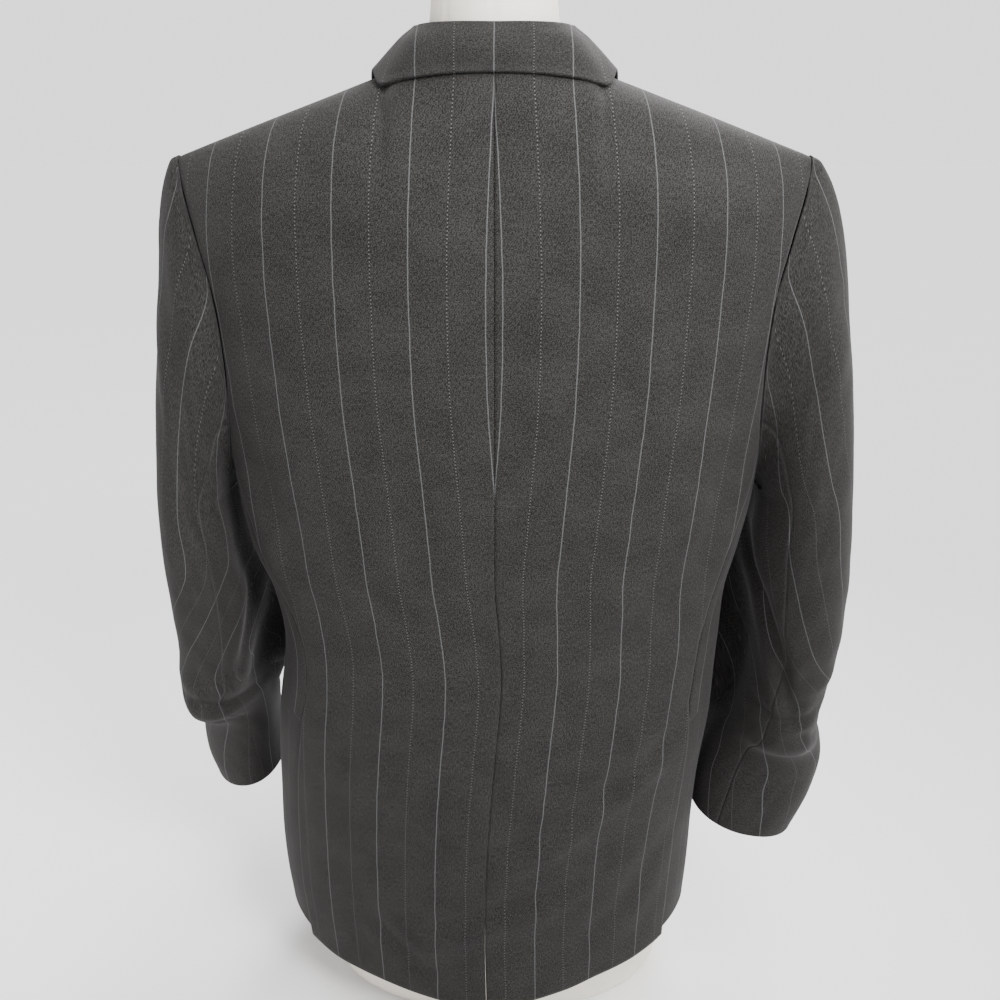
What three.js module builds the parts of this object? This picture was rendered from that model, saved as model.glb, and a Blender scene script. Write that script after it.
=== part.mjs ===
// Double breasted blazer resting on a limbless dress form.
// Millimetres, +Z up. The wearer faces -Y and the wearer's left is +X.
// The origin is on the floor, under the middle of the whole box. Sizes below are
// from the middle of the neck, and the last lines bring the part to its origin.
import * as THREE from 'three';
import { mergeVertices } from 'three/addons/utils/BufferGeometryUtils.js';

// Driving sizes
const wall = 2;                 // cloth, canvas and lining together
const seamGap = 0.3;
const layerGap = 1.3;           // between cloth that lies on cloth, at its tightest bend
const neckHeight = 826;         // neck seam above the floor
const neckHalf = 74;            // side neck point from the middle
const shoulderTip = 238;        // shoulder seam's outer end from the middle
const shoulderFall = 0.36;      // drop of the shoulder line for each mm out
const ridgeY = 20;              // the shoulder seam's place, front to back
const neckBack = 92;            // the neck seam behind the form's middle
const ventTop = 300;
const ventLap = 18;
const ventGap = 0.6;            // between the back and the underlap
const pocketGap = 0.7;          // between a flap or welt and the front
const ventFlare = 2;
const hemRise = 7;              // the hem at the sides above the centre back
const lapEdge = 86;             // the front edge past the centre front
const fasteningHeight = 415;
const buttonRadius = 10;
const buttonHeight = 4;

const clothColour = 0x2b292b;
const formColour = 0xe9e2d2;
const buttonColour = 0x1d1a19;

// Horizontal sections of the body: half width, depth behind and in front, and
// how square each half is. lean moves the section sideways, as the jacket hangs.
const bodyRings = [
  { z: 60, half: 197, back: 146, front: 148, squareBack: 1.6, squareFront: 2.1, lean: 8 },
  { z: 130, half: 199.5, back: 137, front: 145, squareBack: 1.7, squareFront: 2.15, lean: 9 },
  { z: 206, half: 199.5, back: 129, front: 142, squareBack: 1.85, squareFront: 2.2, lean: 7 },
  { z: 288, half: 200, back: 121, front: 139, squareBack: 2.05, squareFront: 2.25, lean: 1 },
  { z: 361, half: 196, back: 114, front: 136, squareBack: 2.15, squareFront: 2.3, lean: -5 },
  { z: 411, half: 200, back: 113, front: 136, squareBack: 2.2, squareFront: 2.3, lean: -3 },
  { z: 449, half: 211, back: 115, front: 138, squareBack: 2.2, squareFront: 2.3, lean: 0 },
  { z: 486, half: 218, back: 118, front: 140, squareBack: 2.2, squareFront: 2.3, lean: 0 },
  { z: 535, half: 223, back: 122, front: 142, squareBack: 2.2, squareFront: 2.3, lean: 0 },
  { z: 635, half: 235, back: 127, front: 138, squareBack: 2.2, squareFront: 2.2, lean: 0 },
  { z: 715, half: 250, back: 127, front: 128, squareBack: 2.2, squareFront: 2.2, lean: 0 },
  { z: 830, half: 258, back: 127, front: 122, squareBack: 2.2, squareFront: 2.2, lean: 0 },
];

// Seams between the back, the side and the front: distance from the middle
const backSeam = [
  { z: 60, x: 163 },
  { z: 130, x: 168 },
  { z: 240, x: 170 },
  { z: 373, x: 168 },
  { z: 450, x: 192 },
  { z: 535, x: 216 },
];
const frontSeam = [
  { z: 60, x: 178 },
  { z: 240, x: 174 },
  { z: 373, x: 170 },
  { z: 450, x: 190 },
  { z: 520, x: 215 },
];

// Armhole, behind and in front: distance from the middle at each height
const armholeBack = [
  { z: 535, x: 216 },
  { z: 587, x: 210 },
  { z: 635, x: 208 },
  { z: 676, x: 211 },
  { z: 715, x: 221 },
  { z: 763, x: 238 },
];
const armholeFront = [
  { z: 520, x: 215 },
  { z: 560, x: 210 },
  { z: 610, x: 206 },
  { z: 660, x: 207 },
  { z: 700, x: 214 },
  { z: 735, x: 226 },
  { z: 763, x: 238 },
];

// Inner edge of the front, which the lapel breaks along above the fastening
const frontEdge = [
  { z: 60, x: -lapEdge },
  { z: 400, x: -lapEdge },
  { z: 415, x: -80 },
  { z: 520, x: -38 },
  { z: 610, x: 0 },
  { z: 700, x: 40 },
  { z: 770, x: 66 },
  { z: 800, x: 73 },
  { z: 826, x: 74 },
];

// Lapel: the height on the break line, and where that row meets the outer edge
const lapelRows = [
  { breakZ: 420, edgeX: -74, edgeZ: 426 },
  { breakZ: 440, edgeX: -45, edgeZ: 438 },
  { breakZ: 475, edgeX: -8, edgeZ: 460 },
  { breakZ: 520, edgeX: 34, edgeZ: 500 },
  { breakZ: 575, edgeX: 76, edgeZ: 556 },
  { breakZ: 630, edgeX: 108, edgeZ: 618 },
  { breakZ: 685, edgeX: 132, edgeZ: 680 },
  { breakZ: 730, edgeX: 146, edgeZ: 728 },
  { breakZ: 766, edgeX: 154, edgeZ: 762 },
];

// Collar round the neck from the centre back: the neck seam's place, how far the
// fold stands above and inside it, how full the fall is, and where its edge lies
const collarRows = [
  { side: 'back', x: 0, rise: 27, inset: 7, belly: 4, fallX: 0, fallZ: 820 },
  { side: 'back', x: 26, rise: 27.5, inset: 7, belly: 4, fallX: 30, fallZ: 819 },
  { side: 'back', x: 50, rise: 28, inset: 8, belly: 3.5, fallX: 58, fallZ: 816 },
  { side: 'back', x: 67, rise: 28, inset: 11, belly: 2, fallX: 76, fallZ: 814 },
  { side: 'ridge', x: 74, rise: 27, inset: 14, belly: 1, fallX: 84, fallZ: 812 },
  { side: 'front', z: 806, rise: 21, inset: 12, belly: 3, fallX: 93, fallZ: 792 },
  { side: 'front', z: 788, rise: 14, inset: 9, belly: 6, fallX: 101, fallZ: 772 },
  { side: 'front', z: 773, rise: 9, inset: 6, belly: 7, fallX: 100, fallZ: 755 },
];

// Sleeve sections below the cap: height of the middle, outer and inner edge from
// the middle of the body, rear and fore edge, how far the fore edge is raised, how
// far the fore edge turns in to the body, and how far the inner edge is raised
const sleeveLeft = [
  { z: 492, outer: 282, inner: 225, rear: 82, fore: -78, raise: 0, twist: 0, roll: 0 },
  { z: 440, outer: 284, inner: 221, rear: 80, fore: -76, raise: 0, twist: 22, roll: 0 },
  { z: 390, outer: 286, inner: 223, rear: 77, fore: -72, raise: 2, twist: 42, roll: 0 },
  { z: 345, outer: 286, inner: 227, rear: 73, fore: -68, raise: 6, twist: 46, roll: 0 },
  { z: 316, outer: 281, inner: 229, rear: 68, fore: -68, raise: 10, twist: 44, roll: 0 },
  { z: 299, outer: 275, inner: 226, rear: 46, fore: -72, raise: 13, twist: 38, roll: 0 },
  { z: 280, outer: 278, inner: 221, rear: 16, fore: -82, raise: 16, twist: 26, roll: 0 },
  { z: 245, outer: 286, inner: 216, rear: -6, fore: -98, raise: 18, twist: 8, roll: 0 },
  { z: 208, outer: 287, inner: 214, rear: -24, fore: -120, raise: 20, twist: 3, roll: 0 },
  { z: 180, outer: 285, inner: 213, rear: -36, fore: -136, raise: 20, twist: 0, roll: 0 },
];
const sleeveRight = [
  { z: 492, outer: 302, inner: 225, rear: 78, fore: -74, raise: 0, twist: 0, roll: 0 },
  { z: 440, outer: 306, inner: 224, rear: 76, fore: -70, raise: 0, twist: 32, roll: 0 },
  { z: 390, outer: 303, inner: 225, rear: 73, fore: -66, raise: 0, twist: 50, roll: 0 },
  { z: 340, outer: 299, inner: 227, rear: 70, fore: -60, raise: 4, twist: 54, roll: 0 },
  { z: 300, outer: 297, inner: 228, rear: 66, fore: -58, raise: 8, twist: 54, roll: 2 },
  { z: 274, outer: 302, inner: 224, rear: 60, fore: -58, raise: 10, twist: 46, roll: 4 },
  { z: 255, outer: 313, inner: 217, rear: 38, fore: -60, raise: 12, twist: 28, roll: 6 },
  { z: 228, outer: 320, inner: 210, rear: 30, fore: -62, raise: 12, twist: 8, roll: 8 },
  { z: 192, outer: 316, inner: 204, rear: 28, fore: -62, raise: 10, twist: 0, roll: 10 },
  { z: 156, outer: 303, inner: 201, rear: 26, fore: -60, raise: 8, twist: 0, roll: 11 },
];
const topSeamRear = 0.33;       // the sleeve's rear seam, as a share of the way round
const topSeamFore = 0.7;

// Dress form: horizontal sections below the shoulders
const formRings = [
  { z: 0, half: 150, back: 88, front: 92 },
  { z: 8, half: 160, back: 96, front: 100 },
  { z: 60, half: 171, back: 104, front: 106 },
  { z: 150, half: 176, back: 107, front: 110 },
  { z: 250, half: 170, back: 100, front: 108 },
  { z: 361, half: 162, back: 92, front: 104 },
  { z: 450, half: 174, back: 98, front: 114 },
  { z: 540, half: 186, back: 106, front: 122 },
  { z: 630, half: 190, back: 110, front: 120 },
  { z: 700, half: 188, back: 110, front: 106 },
];
const formShoulderClear = 2.8;  // the form's ridge under the shoulder line
const formClear = 6;            // the form inside the cloth elsewhere
const formNeckClear = 15;       // and under the collar
const neckRings = [
  { z: 820, half: 56, back: 66, front: -30 },
  { z: 836, half: 53, back: 71, front: -34 },
  { z: 853, half: 48, back: 70, front: -30 },
  { z: 880, half: 45, back: 64, front: -24 },
];
const neckCap = { low: 880.3, high: 892, half: 46, back: 65, front: -25 };

// Value of one column of a table at height z, by smooth steps between rows
function at(table, z, key, by = 'z') {
  const last = table.length - 1;
  if (z <= table[0][by]) return table[0][key];
  if (z >= table[last][by]) return table[last][key];
  let i = 0;
  while (table[i + 1][by] < z) i += 1;
  const slope = (k) => {
    const a = table[Math.max(k - 1, 0)];
    const b = table[Math.min(k + 1, last)];
    return (b[key] - a[key]) / (b[by] - a[by]);
  };
  const step = table[i + 1][by] - table[i][by];
  const t = (z - table[i][by]) / step;
  const h = t * t * (3 - 2 * t);
  const start = t * (1 - t) * (1 - t) * step * slope(i);
  const end = -t * t * (1 - t) * step * slope(i + 1);
  return table[i][key] * (1 - h) + table[i + 1][key] * h + start + end;
}

const mix = (a, b, t) => a + (b - a) * t;

function smooth(low, high, value) {
  const t = Math.min(Math.max((value - low) / (high - low), 0), 1);
  return t * t * (3 - 2 * t);
}

const signedPower = (v, p) => Math.sign(v) * Math.abs(v) ** p;

// Top of the body at a distance from the middle: neck seam, then shoulder seam
function topLine(x) {
  return neckHeight - shoulderFall * Math.max(Math.abs(x) - neckHalf, 0);
}

// Rounding of the body down from its top: 0 at the top, 1 below the reach
function dome(drop, reach, power) {
  const left = 1 - Math.min(Math.max(drop / reach, 0), 1);
  return (1 - left ** power) ** (1 / power);
}

function backY(x, z) {
  const out = Math.min(Math.abs(x) / at(bodyRings, z, 'half'), 0.999);
  const square = at(bodyRings, z, 'squareBack');
  const full = at(bodyRings, z, 'back') * (1 - out ** square) ** (1 / square);
  const inNeck = Math.min(Math.abs(x) / neckHalf, 1);
  const seam = ridgeY + (neckBack - ridgeY) * Math.sqrt(1 - inNeck * inNeck);
  const toSide = smooth(0, 110, Math.abs(x));
  const round = dome(topLine(x) - z, mix(150, 85, toSide), mix(1.5, 2, toSide));
  return seam + (full - seam) * round;
}

function frontY(x, z) {
  const out = Math.min(Math.abs(x) / at(bodyRings, z, 'half'), 0.999);
  const square = at(bodyRings, z, 'squareFront');
  const full = -at(bodyRings, z, 'front') * (1 - out ** square) ** (1 / square);
  const toSide = smooth(60, 200, Math.abs(x));
  const round = dome(topLine(x) - z, mix(190, 120, toSide), mix(1.5, 1.8, toSide));
  return ridgeY + (full - ridgeY) * round;
}

// Point of the body below the armholes, at an angle from the centre back
function ringPoint(angle, z) {
  const s = Math.sin(angle);
  const c = Math.cos(angle);
  const square = at(bodyRings, z, c >= 0 ? 'squareBack' : 'squareFront');
  const depth = at(bodyRings, z, c >= 0 ? 'back' : 'front');
  return new THREE.Vector3(
    at(bodyRings, z, 'half') * signedPower(s, 2 / square),
    depth * signedPower(c, 2 / square),
    z,
  );
}

// Angle on a ring of the point that lies x from the middle
function ringAngle(x, z, behind) {
  const square = at(bodyRings, z, behind ? 'squareBack' : 'squareFront');
  const s = Math.asin(signedPower(x / at(bodyRings, z, 'half'), square / 2));
  return behind ? s : Math.PI - s;
}

function ringNormal(angle, z) {
  const round = ringPoint(angle + 0.01, z).sub(ringPoint(angle - 0.01, z));
  const up = ringPoint(angle, z + 1).sub(ringPoint(angle, z - 1));
  return up.cross(round).normalize();
}

// Normal of a depth given by x and z, facing out of the body
function depthNormal(depth, facing, x, z) {
  const low = Math.min(z, topLine(x) - 1.5);
  const across = (depth(x + 0.5, low) - depth(x - 0.5, low));
  const up = depth(x, low + 0.5) - depth(x, low - 0.5);
  return new THREE.Vector3(-across, 1, -up).multiplyScalar(facing).normalize();
}

const ridgeNormal = new THREE.Vector3(shoulderFall, 0, 1).normalize();

// Closed wall between an outer grid of points and the grid inside it
function wallGeometry(outer, inner) {
  const rows = outer.length;
  const columns = outer[0].length;
  const positions = [];
  const index = [];
  for (const grid of [outer, inner]) {
    for (const row of grid) {
      for (const p of row) positions.push(p.x, p.y, p.z);
    }
  }
  const id = (side, r, c) => (side * rows + r) * columns + c;
  const quad = (a, b, c, d) => index.push(a, b, c, a, c, d);
  const top = rows - 1;
  const end = columns - 1;
  for (let r = 0; r < top; r += 1) {
    for (let c = 0; c < end; c += 1) {
      quad(id(0, r, c), id(0, r, c + 1), id(0, r + 1, c + 1), id(0, r + 1, c));
      quad(id(1, r, c), id(1, r + 1, c), id(1, r + 1, c + 1), id(1, r, c + 1));
    }
  }
  for (let c = 0; c < end; c += 1) {
    quad(id(0, 0, c), id(1, 0, c), id(1, 0, c + 1), id(0, 0, c + 1));
    quad(id(0, top, c), id(0, top, c + 1), id(1, top, c + 1), id(1, top, c));
  }
  for (let r = 0; r < top; r += 1) {
    quad(id(0, r, 0), id(0, r + 1, 0), id(1, r + 1, 0), id(1, r, 0));
    quad(id(0, r, end), id(1, r, end), id(1, r + 1, end), id(0, r + 1, end));
  }
  return facingOut(positions, index);
}

// Geometry with its triangles turned so that the volume is positive
function facingOut(positions, index) {
  const p = (i) => new THREE.Vector3().fromArray(positions, i * 3);
  let volume = 0;
  for (let i = 0; i < index.length; i += 3) {
    volume += p(index[i]).dot(p(index[i + 1]).cross(p(index[i + 2])));
  }
  if (volume < 0) {
    for (let i = 0; i < index.length; i += 3) {
      [index[i], index[i + 1]] = [index[i + 1], index[i]];
    }
  }
  const geometry = new THREE.BufferGeometry();
  geometry.setAttribute('position', new THREE.Float32BufferAttribute(positions, 3));
  geometry.setIndex(index);
  return geometry;
}

const mirrored = (grid) => grid.map((row) => row.map((p) => new THREE.Vector3(-p.x, p.y, p.z)));

function leaning(grid) {
  return grid.map((row) => row.map((p) => {
    p.x += at(bodyRings, p.z, 'lean');
    return p;
  }));
}

const cloth = new THREE.MeshStandardMaterial({ color: clothColour, roughness: 0.92, metalness: 0 });
const horn = new THREE.MeshStandardMaterial({ color: buttonColour, roughness: 0.35, metalness: 0 });
const linen = new THREE.MeshStandardMaterial({ color: formColour, roughness: 0.8, metalness: 0 });

const group = new THREE.Group();

function add(name, geometry, material) {
  const mesh = new THREE.Mesh(geometry, material);
  mesh.name = name;
  group.add(mesh);
  return mesh;
}

// A panel cut for the wearer's left, or its mirror image for the right
function addPanel(name, side, points, normals, thickness = wall) {
  const p = points.map((row) => row.map((v) => v.clone()));
  const inner = p.map((row, r) => row.map((v, c) => (
    v.clone().addScaledVector(normals[r][c], -thickness)
  )));
  const left = side > 0;
  add(name, wallGeometry(
    leaning(left ? p : mirrored(p)),
    leaning(left ? inner : mirrored(inner)),
  ), cloth);
}

// Heights of the rows below the armholes, with the vent's top between two of them
const lowRows = [60, 100, 145, 195, 250, ventTop, ventTop + 4, 335, 375, 415, 450, 490];
const backCut = 535;            // the back seam meets the armhole
const frontCut = 520;           // the front seam meets the armhole
const underarm = 512;
const highSteps = 9;
const highRowEase = 0.06;       // brings the rows closer together towards the shoulder
const highRow = (step) => {
  const t = step / highSteps;
  return t + highRowEase * Math.sin(Math.PI * t);
};

// Backs
const backColumns = [0, 26, 50, neckHalf, 98, 122, 146, 170, 193, 216, shoulderTip];

// How far the back stands off over the vent's underlap: from liftStart of the way
// to its edge, fully from liftEnd, and flared out beyond flareStart
const vent = { liftStart: 0.55, liftEnd: 0.84, flareStart: 0.5 };

function ventLift(share, z) {
  const open = Math.max(1 - z / ventTop, 0);
  const flare = wall + ventGap + ventFlare * open * smooth(vent.flareStart, 1, share);
  return z <= ventTop + 4 ? flare * smooth(vent.liftStart, vent.liftEnd, share) : 0;
}

function backPanel() {
  const points = [];
  const normals = [];
  for (const z of [...lowRows, backCut]) {
    const edge = at(backSeam, z, 'x') - seamGap / 2;
    const row = [];
    const rowNormals = [];
    backColumns.forEach((column, c) => {
      const share = column / shoulderTip;
      const x = c === 0 ? seamGap / 2 : edge * share;
      const angle = ringAngle(x, z, true);
      const n = ringNormal(angle, z);
      const p = ringPoint(angle, z).addScaledVector(n, ventLift(share, z));
      p.z += z === lowRows[0] ? hemRise * share ** 2 : 0;
      row.push(p);
      rowNormals.push(n);
    });
    points.push(row);
    normals.push(rowNormals);
  }
  for (let step = 1; step <= highSteps; step += 1) {
    const t = highRow(step);
    const edgeZ = mix(backCut, topLine(shoulderTip), t);
    const edge = at(armholeBack, edgeZ, 'x');
    const row = [];
    const rowNormals = [];
    backColumns.forEach((column, c) => {
      const x = c === 0 ? seamGap / 2 : edge * (column / shoulderTip);
      const z = mix(backCut, topLine(column), t);
      const onSeam = step === highSteps && column >= neckHalf;
      const y = backY(x, z) + (onSeam ? seamGap / 2 : 0);
      row.push(new THREE.Vector3(x, y, z));
      rowNormals.push(onSeam ? ridgeNormal : depthNormal(backY, 1, x, z));
    });
    points.push(row);
    normals.push(rowNormals);
  }
  return { points, normals };
}

const back = backPanel();
addPanel('back_left', 1, back.points, back.normals);
addPanel('back_right', -1, back.points, back.normals);

// Sides
const sideSteps = 5;

function sidePanel() {
  const points = [];
  const normals = [];
  [...lowRows, null].forEach((level) => {
    const row = [];
    const rowNormals = [];
    for (let c = 0; c <= sideSteps; c += 1) {
      const t = c / sideSteps;
      const dip = underarm - mix(backCut, frontCut, 0.5);
      const z = level === null ? mix(backCut, frontCut, t) + dip * 4 * t * (1 - t) : level;
      const lap = z <= ventTop ? -ventLap : seamGap / 2;
      const rear = ringAngle(at(backSeam, z, 'x') + lap, z, true);
      const fore = ringAngle(at(frontSeam, z, 'x') + seamGap / 2, z, false);
      const angle = mix(rear, fore, t);
      const p = ringPoint(angle, z);
      p.z += z === lowRows[0] ? hemRise : 0;
      row.push(p);
      rowNormals.push(ringNormal(angle, z));
    }
    points.push(row);
    normals.push(rowNormals);
  });
  return { points, normals };
}

const side = sidePanel();
addPanel('side_left', 1, side.points, side.normals);
addPanel('side_right', -1, side.points, side.normals);

// Fronts: the left laps over the right and stands off above it, by one layer at the
// hem and by two under the lapels, and lies back on the body past the right's edge
const overlap = { oneBelow: 345, twoAbove: 405, ease: 0.4, fadeStart: 4, fadeEnd: 50 };

function overlapLift(x, z) {
  const one = wall + layerGap;
  const two = 2 * one - overlap.ease;
  const high = mix(one, two, smooth(overlap.oneBelow, overlap.twoAbove, z));
  const reach = -at(frontEdge, z, 'x');
  return high * (1 - smooth(reach + overlap.fadeStart, reach + overlap.fadeEnd, x));
}

// Point and normal on a front, at x from the middle; over is 1 for the left front
function frontPoint(x, z, over, lift = 0) {
  const edge = at(frontSeam, Math.min(z, frontCut), 'x');
  const low = z < frontCut && Math.abs(x) <= edge + 1;
  const n = low ? ringNormal(ringAngle(x, z, false), z) : depthNormal(frontY, -1, x, z);
  const p = low ? ringPoint(ringAngle(x, z, false), z) : new THREE.Vector3(x, frontY(x, z), z);
  return { p: p.addScaledVector(n, lift + (over ? overlapLift(x, z) : 0)), n };
}

const frontSteps = 12;

function frontPanel(over) {
  const points = [];
  const normals = [];
  const shares = [];
  for (const z of [...lowRows, frontCut]) {
    const rear = ringAngle(at(frontSeam, z, 'x') - seamGap / 2, z, false);
    const fore = ringAngle(at(frontEdge, z, 'x'), z, false);
    const row = [];
    const rowNormals = [];
    for (let c = 0; c <= frontSteps; c += 1) {
      const angle = mix(rear, fore, c / frontSteps);
      const n = ringNormal(angle, z);
      const p = ringPoint(angle, z);
      p.z += z === lowRows[0] ? hemRise * (1 - c / frontSteps) ** 2 : 0;
      row.push(p.addScaledVector(n, over ? overlapLift(p.x, z) : 0));
      rowNormals.push(n);
      const span = at(frontEdge, z, 'x') - at(frontSeam, z, 'x');
      shares[c] = (p.x - at(frontSeam, z, 'x')) / span;
    }
    points.push(row);
    normals.push(rowNormals);
  }
  shares[0] = 0;
  shares[frontSteps] = 1;
  for (let step = 1; step <= highSteps; step += 1) {
    const t = highRow(step);
    const row = [];
    const rowNormals = [];
    for (let c = 0; c <= frontSteps; c += 1) {
      const share = mix(shares[c], c / frontSteps, t);
      const topX = mix(shoulderTip, neckHalf, share);
      const z = mix(frontCut, topLine(topX), t);
      const edgeZ = mix(frontCut, topLine(shoulderTip), t);
      const foreZ = mix(frontCut, neckHeight, t);
      const x = mix(at(armholeFront, edgeZ, 'x'), at(frontEdge, foreZ, 'x'), share);
      const onSeam = step === highSteps;
      const { p, n } = frontPoint(x, z, over);
      p.y -= onSeam ? seamGap / 2 : 0;
      row.push(p);
      rowNormals.push(onSeam ? ridgeNormal : n);
    }
    points.push(row);
    normals.push(rowNormals);
  }
  return { points, normals };
}

const frontOver = frontPanel(true);
const frontUnder = frontPanel(false);
addPanel('front_left', 1, frontOver.points, frontOver.normals);
addPanel('front_right', -1, frontUnder.points, frontUnder.normals);

function aroundPoint(angle, z, lift) {
  const n = ringNormal(angle, z);
  return { p: ringPoint(angle, z).addScaledVector(n, lift), n };
}

// Piece that lies on a front, from the front's own points moved out
function onFront(over, rows, columns, place, lift) {
  const points = [];
  const normals = [];
  for (let r = 0; r <= rows; r += 1) {
    const row = [];
    const rowNormals = [];
    for (let c = 0; c <= columns; c += 1) {
      const spot = place(r / rows, c / columns);
      const x = spot.x ?? ringPoint(spot.angle, spot.z).x;
      const found = spot.angle === undefined
        ? frontPoint(x, spot.z, over, lift + (spot.lift ?? 0))
        : aroundPoint(spot.angle, spot.z, lift + (over ? overlapLift(x, spot.z) : 0));
      row.push(found.p);
      rowNormals.push(found.n);
    }
    points.push(row);
    normals.push(rowNormals);
  }
  return { points, normals };
}

// Peak lapels, with a soft roll beside the break line
const lapelLift = wall + layerGap;
const lapelSteps = 15;
const lapelColumns = 9;
const underLapelWall = 1.8;     // the right lapel, where the left front covers it
const roll = { height: 3.5, spread: 1.6, overShown: [420, 500], underShown: [600, 680] };
const notch = { share: 0.4, drop: 12 };

function lapel(over) {
  const low = lapelRows[0].breakZ;
  const high = lapelRows[lapelRows.length - 1].breakZ;
  return onFront(over, lapelSteps, lapelColumns, (t, u) => {
    const row = { breakZ: mix(low, high, t) };
    row.edgeX = at(lapelRows, row.breakZ, 'edgeX', 'breakZ');
    row.edgeZ = at(lapelRows, row.breakZ, 'edgeZ', 'breakZ');
    const x = mix(at(frontEdge, row.breakZ, 'x') + 1, row.edgeX, u);
    const dip = t === 1 ? notch.drop * Math.max(1 - Math.abs(u - notch.share) / notch.share, 0) : 0;
    const shown = smooth(...(over ? roll.overShown : roll.underShown), row.breakZ);
    const rolled = roll.height * Math.sin(Math.PI * Math.min(u * roll.spread, 1)) * shown;
    return { x, z: mix(row.breakZ, row.edgeZ, u) - dip, lift: rolled };
  }, lapelLift);
}

const lapelOver = lapel(true);
const lapelUnder = lapel(false);
addPanel('lapel_left', 1, lapelOver.points, lapelOver.normals);
addPanel('lapel_right', -1, lapelUnder.points, lapelUnder.normals, underLapelWall);

// Hip pocket flaps and the breast welt
const flap = { fore: 97, rear: 198, top: 240, drop: 54, slant: 3 };
const welt = { fore: 122, rear: 196, low: 592, high: 614, slant: 7 };
const flapPlace = (t, u) => {
  const z = flap.top - flap.drop * (1 - t) + flap.slant * u;
  return { angle: mix(ringAngle(flap.fore, z, false), ringAngle(flap.rear, z, false), u), z };
};
const weltPlace = (t, u) => ({
  x: mix(welt.fore, welt.rear, u),
  z: mix(welt.low, welt.high, t) + welt.slant * u,
});
for (const [name, sign, over] of [['flap_left', 1, true], ['flap_right', -1, false]]) {
  const piece = onFront(over, 3, 9, flapPlace, wall + pocketGap);
  addPanel(name, sign, piece.points, piece.normals);
}
const weltPiece = onFront(true, 2, 7, weltPlace, wall + pocketGap);
addPanel('chest_welt', 1, weltPiece.points, weltPiece.normals);

// Collar: the stand rises from the neck seam, and the fall turns over it
const neckMiddle = ridgeY + 6;
const standInset = { back: 0.2, front: wall + 1 };

function collarLines() {
  return collarRows.map((row) => {
    const front = row.side === 'front';
    const x = front ? at(frontEdge, row.z, 'x') : row.x;
    const z = front ? row.z : neckHeight;
    const y = front ? frontY(x, z) : backY(x, z);
    const toward = new THREE.Vector3(-x, neckMiddle - y, 0).normalize();
    const foot = new THREE.Vector3(x, y, z + seamGap);
    foot.addScaledVector(toward, front ? standInset.front : standInset.back);
    const fold = foot.clone().addScaledVector(toward, row.inset);
    fold.z += row.rise;
    const depth = front ? frontY : backY;
    const facing = front ? -1 : 1;
    const edge = new THREE.Vector3(row.fallX, depth(row.fallX, row.fallZ), row.fallZ);
    edge.addScaledVector(depthNormal(depth, facing, row.fallX, row.fallZ), wall + layerGap);
    if (row.side === 'ridge') edge.set(row.fallX, ridgeY, topLine(row.fallX) + 2 * (wall + layerGap));
    return { foot, fold, edge, toward, belly: row.belly };
  });
}

const collarHalf = collarLines();
const flipX = (v) => new THREE.Vector3(-v.x, v.y, v.z);
const collarRound = [
  ...collarHalf.slice(1).reverse().map((l) => ({
    foot: flipX(l.foot),
    fold: flipX(l.fold),
    edge: flipX(l.edge),
    toward: flipX(l.toward),
    belly: l.belly,
  })),
  ...collarHalf,
];
const standShort = 4.6;         // the stand's top under the fold
const standLean = 1;            // and inside it
const standSteps = 3;
const fallSteps = 5;
const bellyPlace = 1.15;        // moves the fall's fullest line above its middle
const foldShare = 0.3;          // of the fall, that turns over the stand
// Under side of the fall: it faces down at the fold and inwards from the turn on
const turn = { start: -0.1, end: 0.45, level: 0.5, steep: 0.75 };
const standOuter = [];
const standInner = [];
const fallOuter = [];
const fallInner = [];
for (const line of collarRound) {
  const top = line.fold.clone();
  top.z -= standShort;
  top.addScaledVector(line.toward, standLean);
  const outer = [];
  for (let k = 0; k <= standSteps; k += 1) outer.push(line.foot.clone().lerp(top, k / standSteps));
  standOuter.push(outer);
  standInner.push(outer.map((p) => p.clone().addScaledVector(line.toward, wall)));
  const over = [];
  const under = [];
  for (let k = 0; k <= fallSteps; k += 1) {
    const t = k / fallSteps;
    const turned = wall * (1 - smooth(0, foldShare, t));
    const p = line.fold.clone().addScaledVector(line.toward, turned);
    p.lerp(line.edge, t);
    const away = line.toward.clone().multiplyScalar(-1);
    const belly = Math.sin(Math.PI * Math.min(t * bellyPlace, 1)) * line.belly;
    p.addScaledVector(away, belly);
    over.push(p);
    const facing = away.clone().multiplyScalar(smooth(turn.start, turn.end, t));
    facing.z = 1 - turn.steep * smooth(0, turn.level, t);
    under.push(p.clone().addScaledVector(facing.normalize(), -wall));
  }
  fallOuter.push(over);
  fallInner.push(under);
}
add('collar_stand', wallGeometry(standOuter, standInner), cloth);
add('collar_fall', wallGeometry(fallOuter, fallInner), cloth);

// Sleeves start on the armhole: up the back, over the tip, down the front, and under
function armholeLoop() {
  const column = (panel, c) => panel.points.slice(lowRows.length).map((row) => row[c].clone());
  const behind = column(back, backColumns.length - 1);
  const before = column(frontUnder, 0);
  const under = side.points[side.points.length - 1].slice(1, -1).map((p) => p.clone());
  return [...behind.reverse(), ...under, ...before.slice(0, -1)];
}

const loop = armholeLoop();
const loopLengths = [0];
for (let i = 1; i <= loop.length; i += 1) {
  loopLengths.push(loopLengths[i - 1] + loop[i - 1].distanceTo(loop[i % loop.length]));
}
const loopShares = loopLengths.slice(0, -1).map((l) => l / loopLengths[loop.length]);

// Point of a sleeve section: share 0 is outermost, then the rear, inside and fore
const sleeveRound = 0.95;

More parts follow.
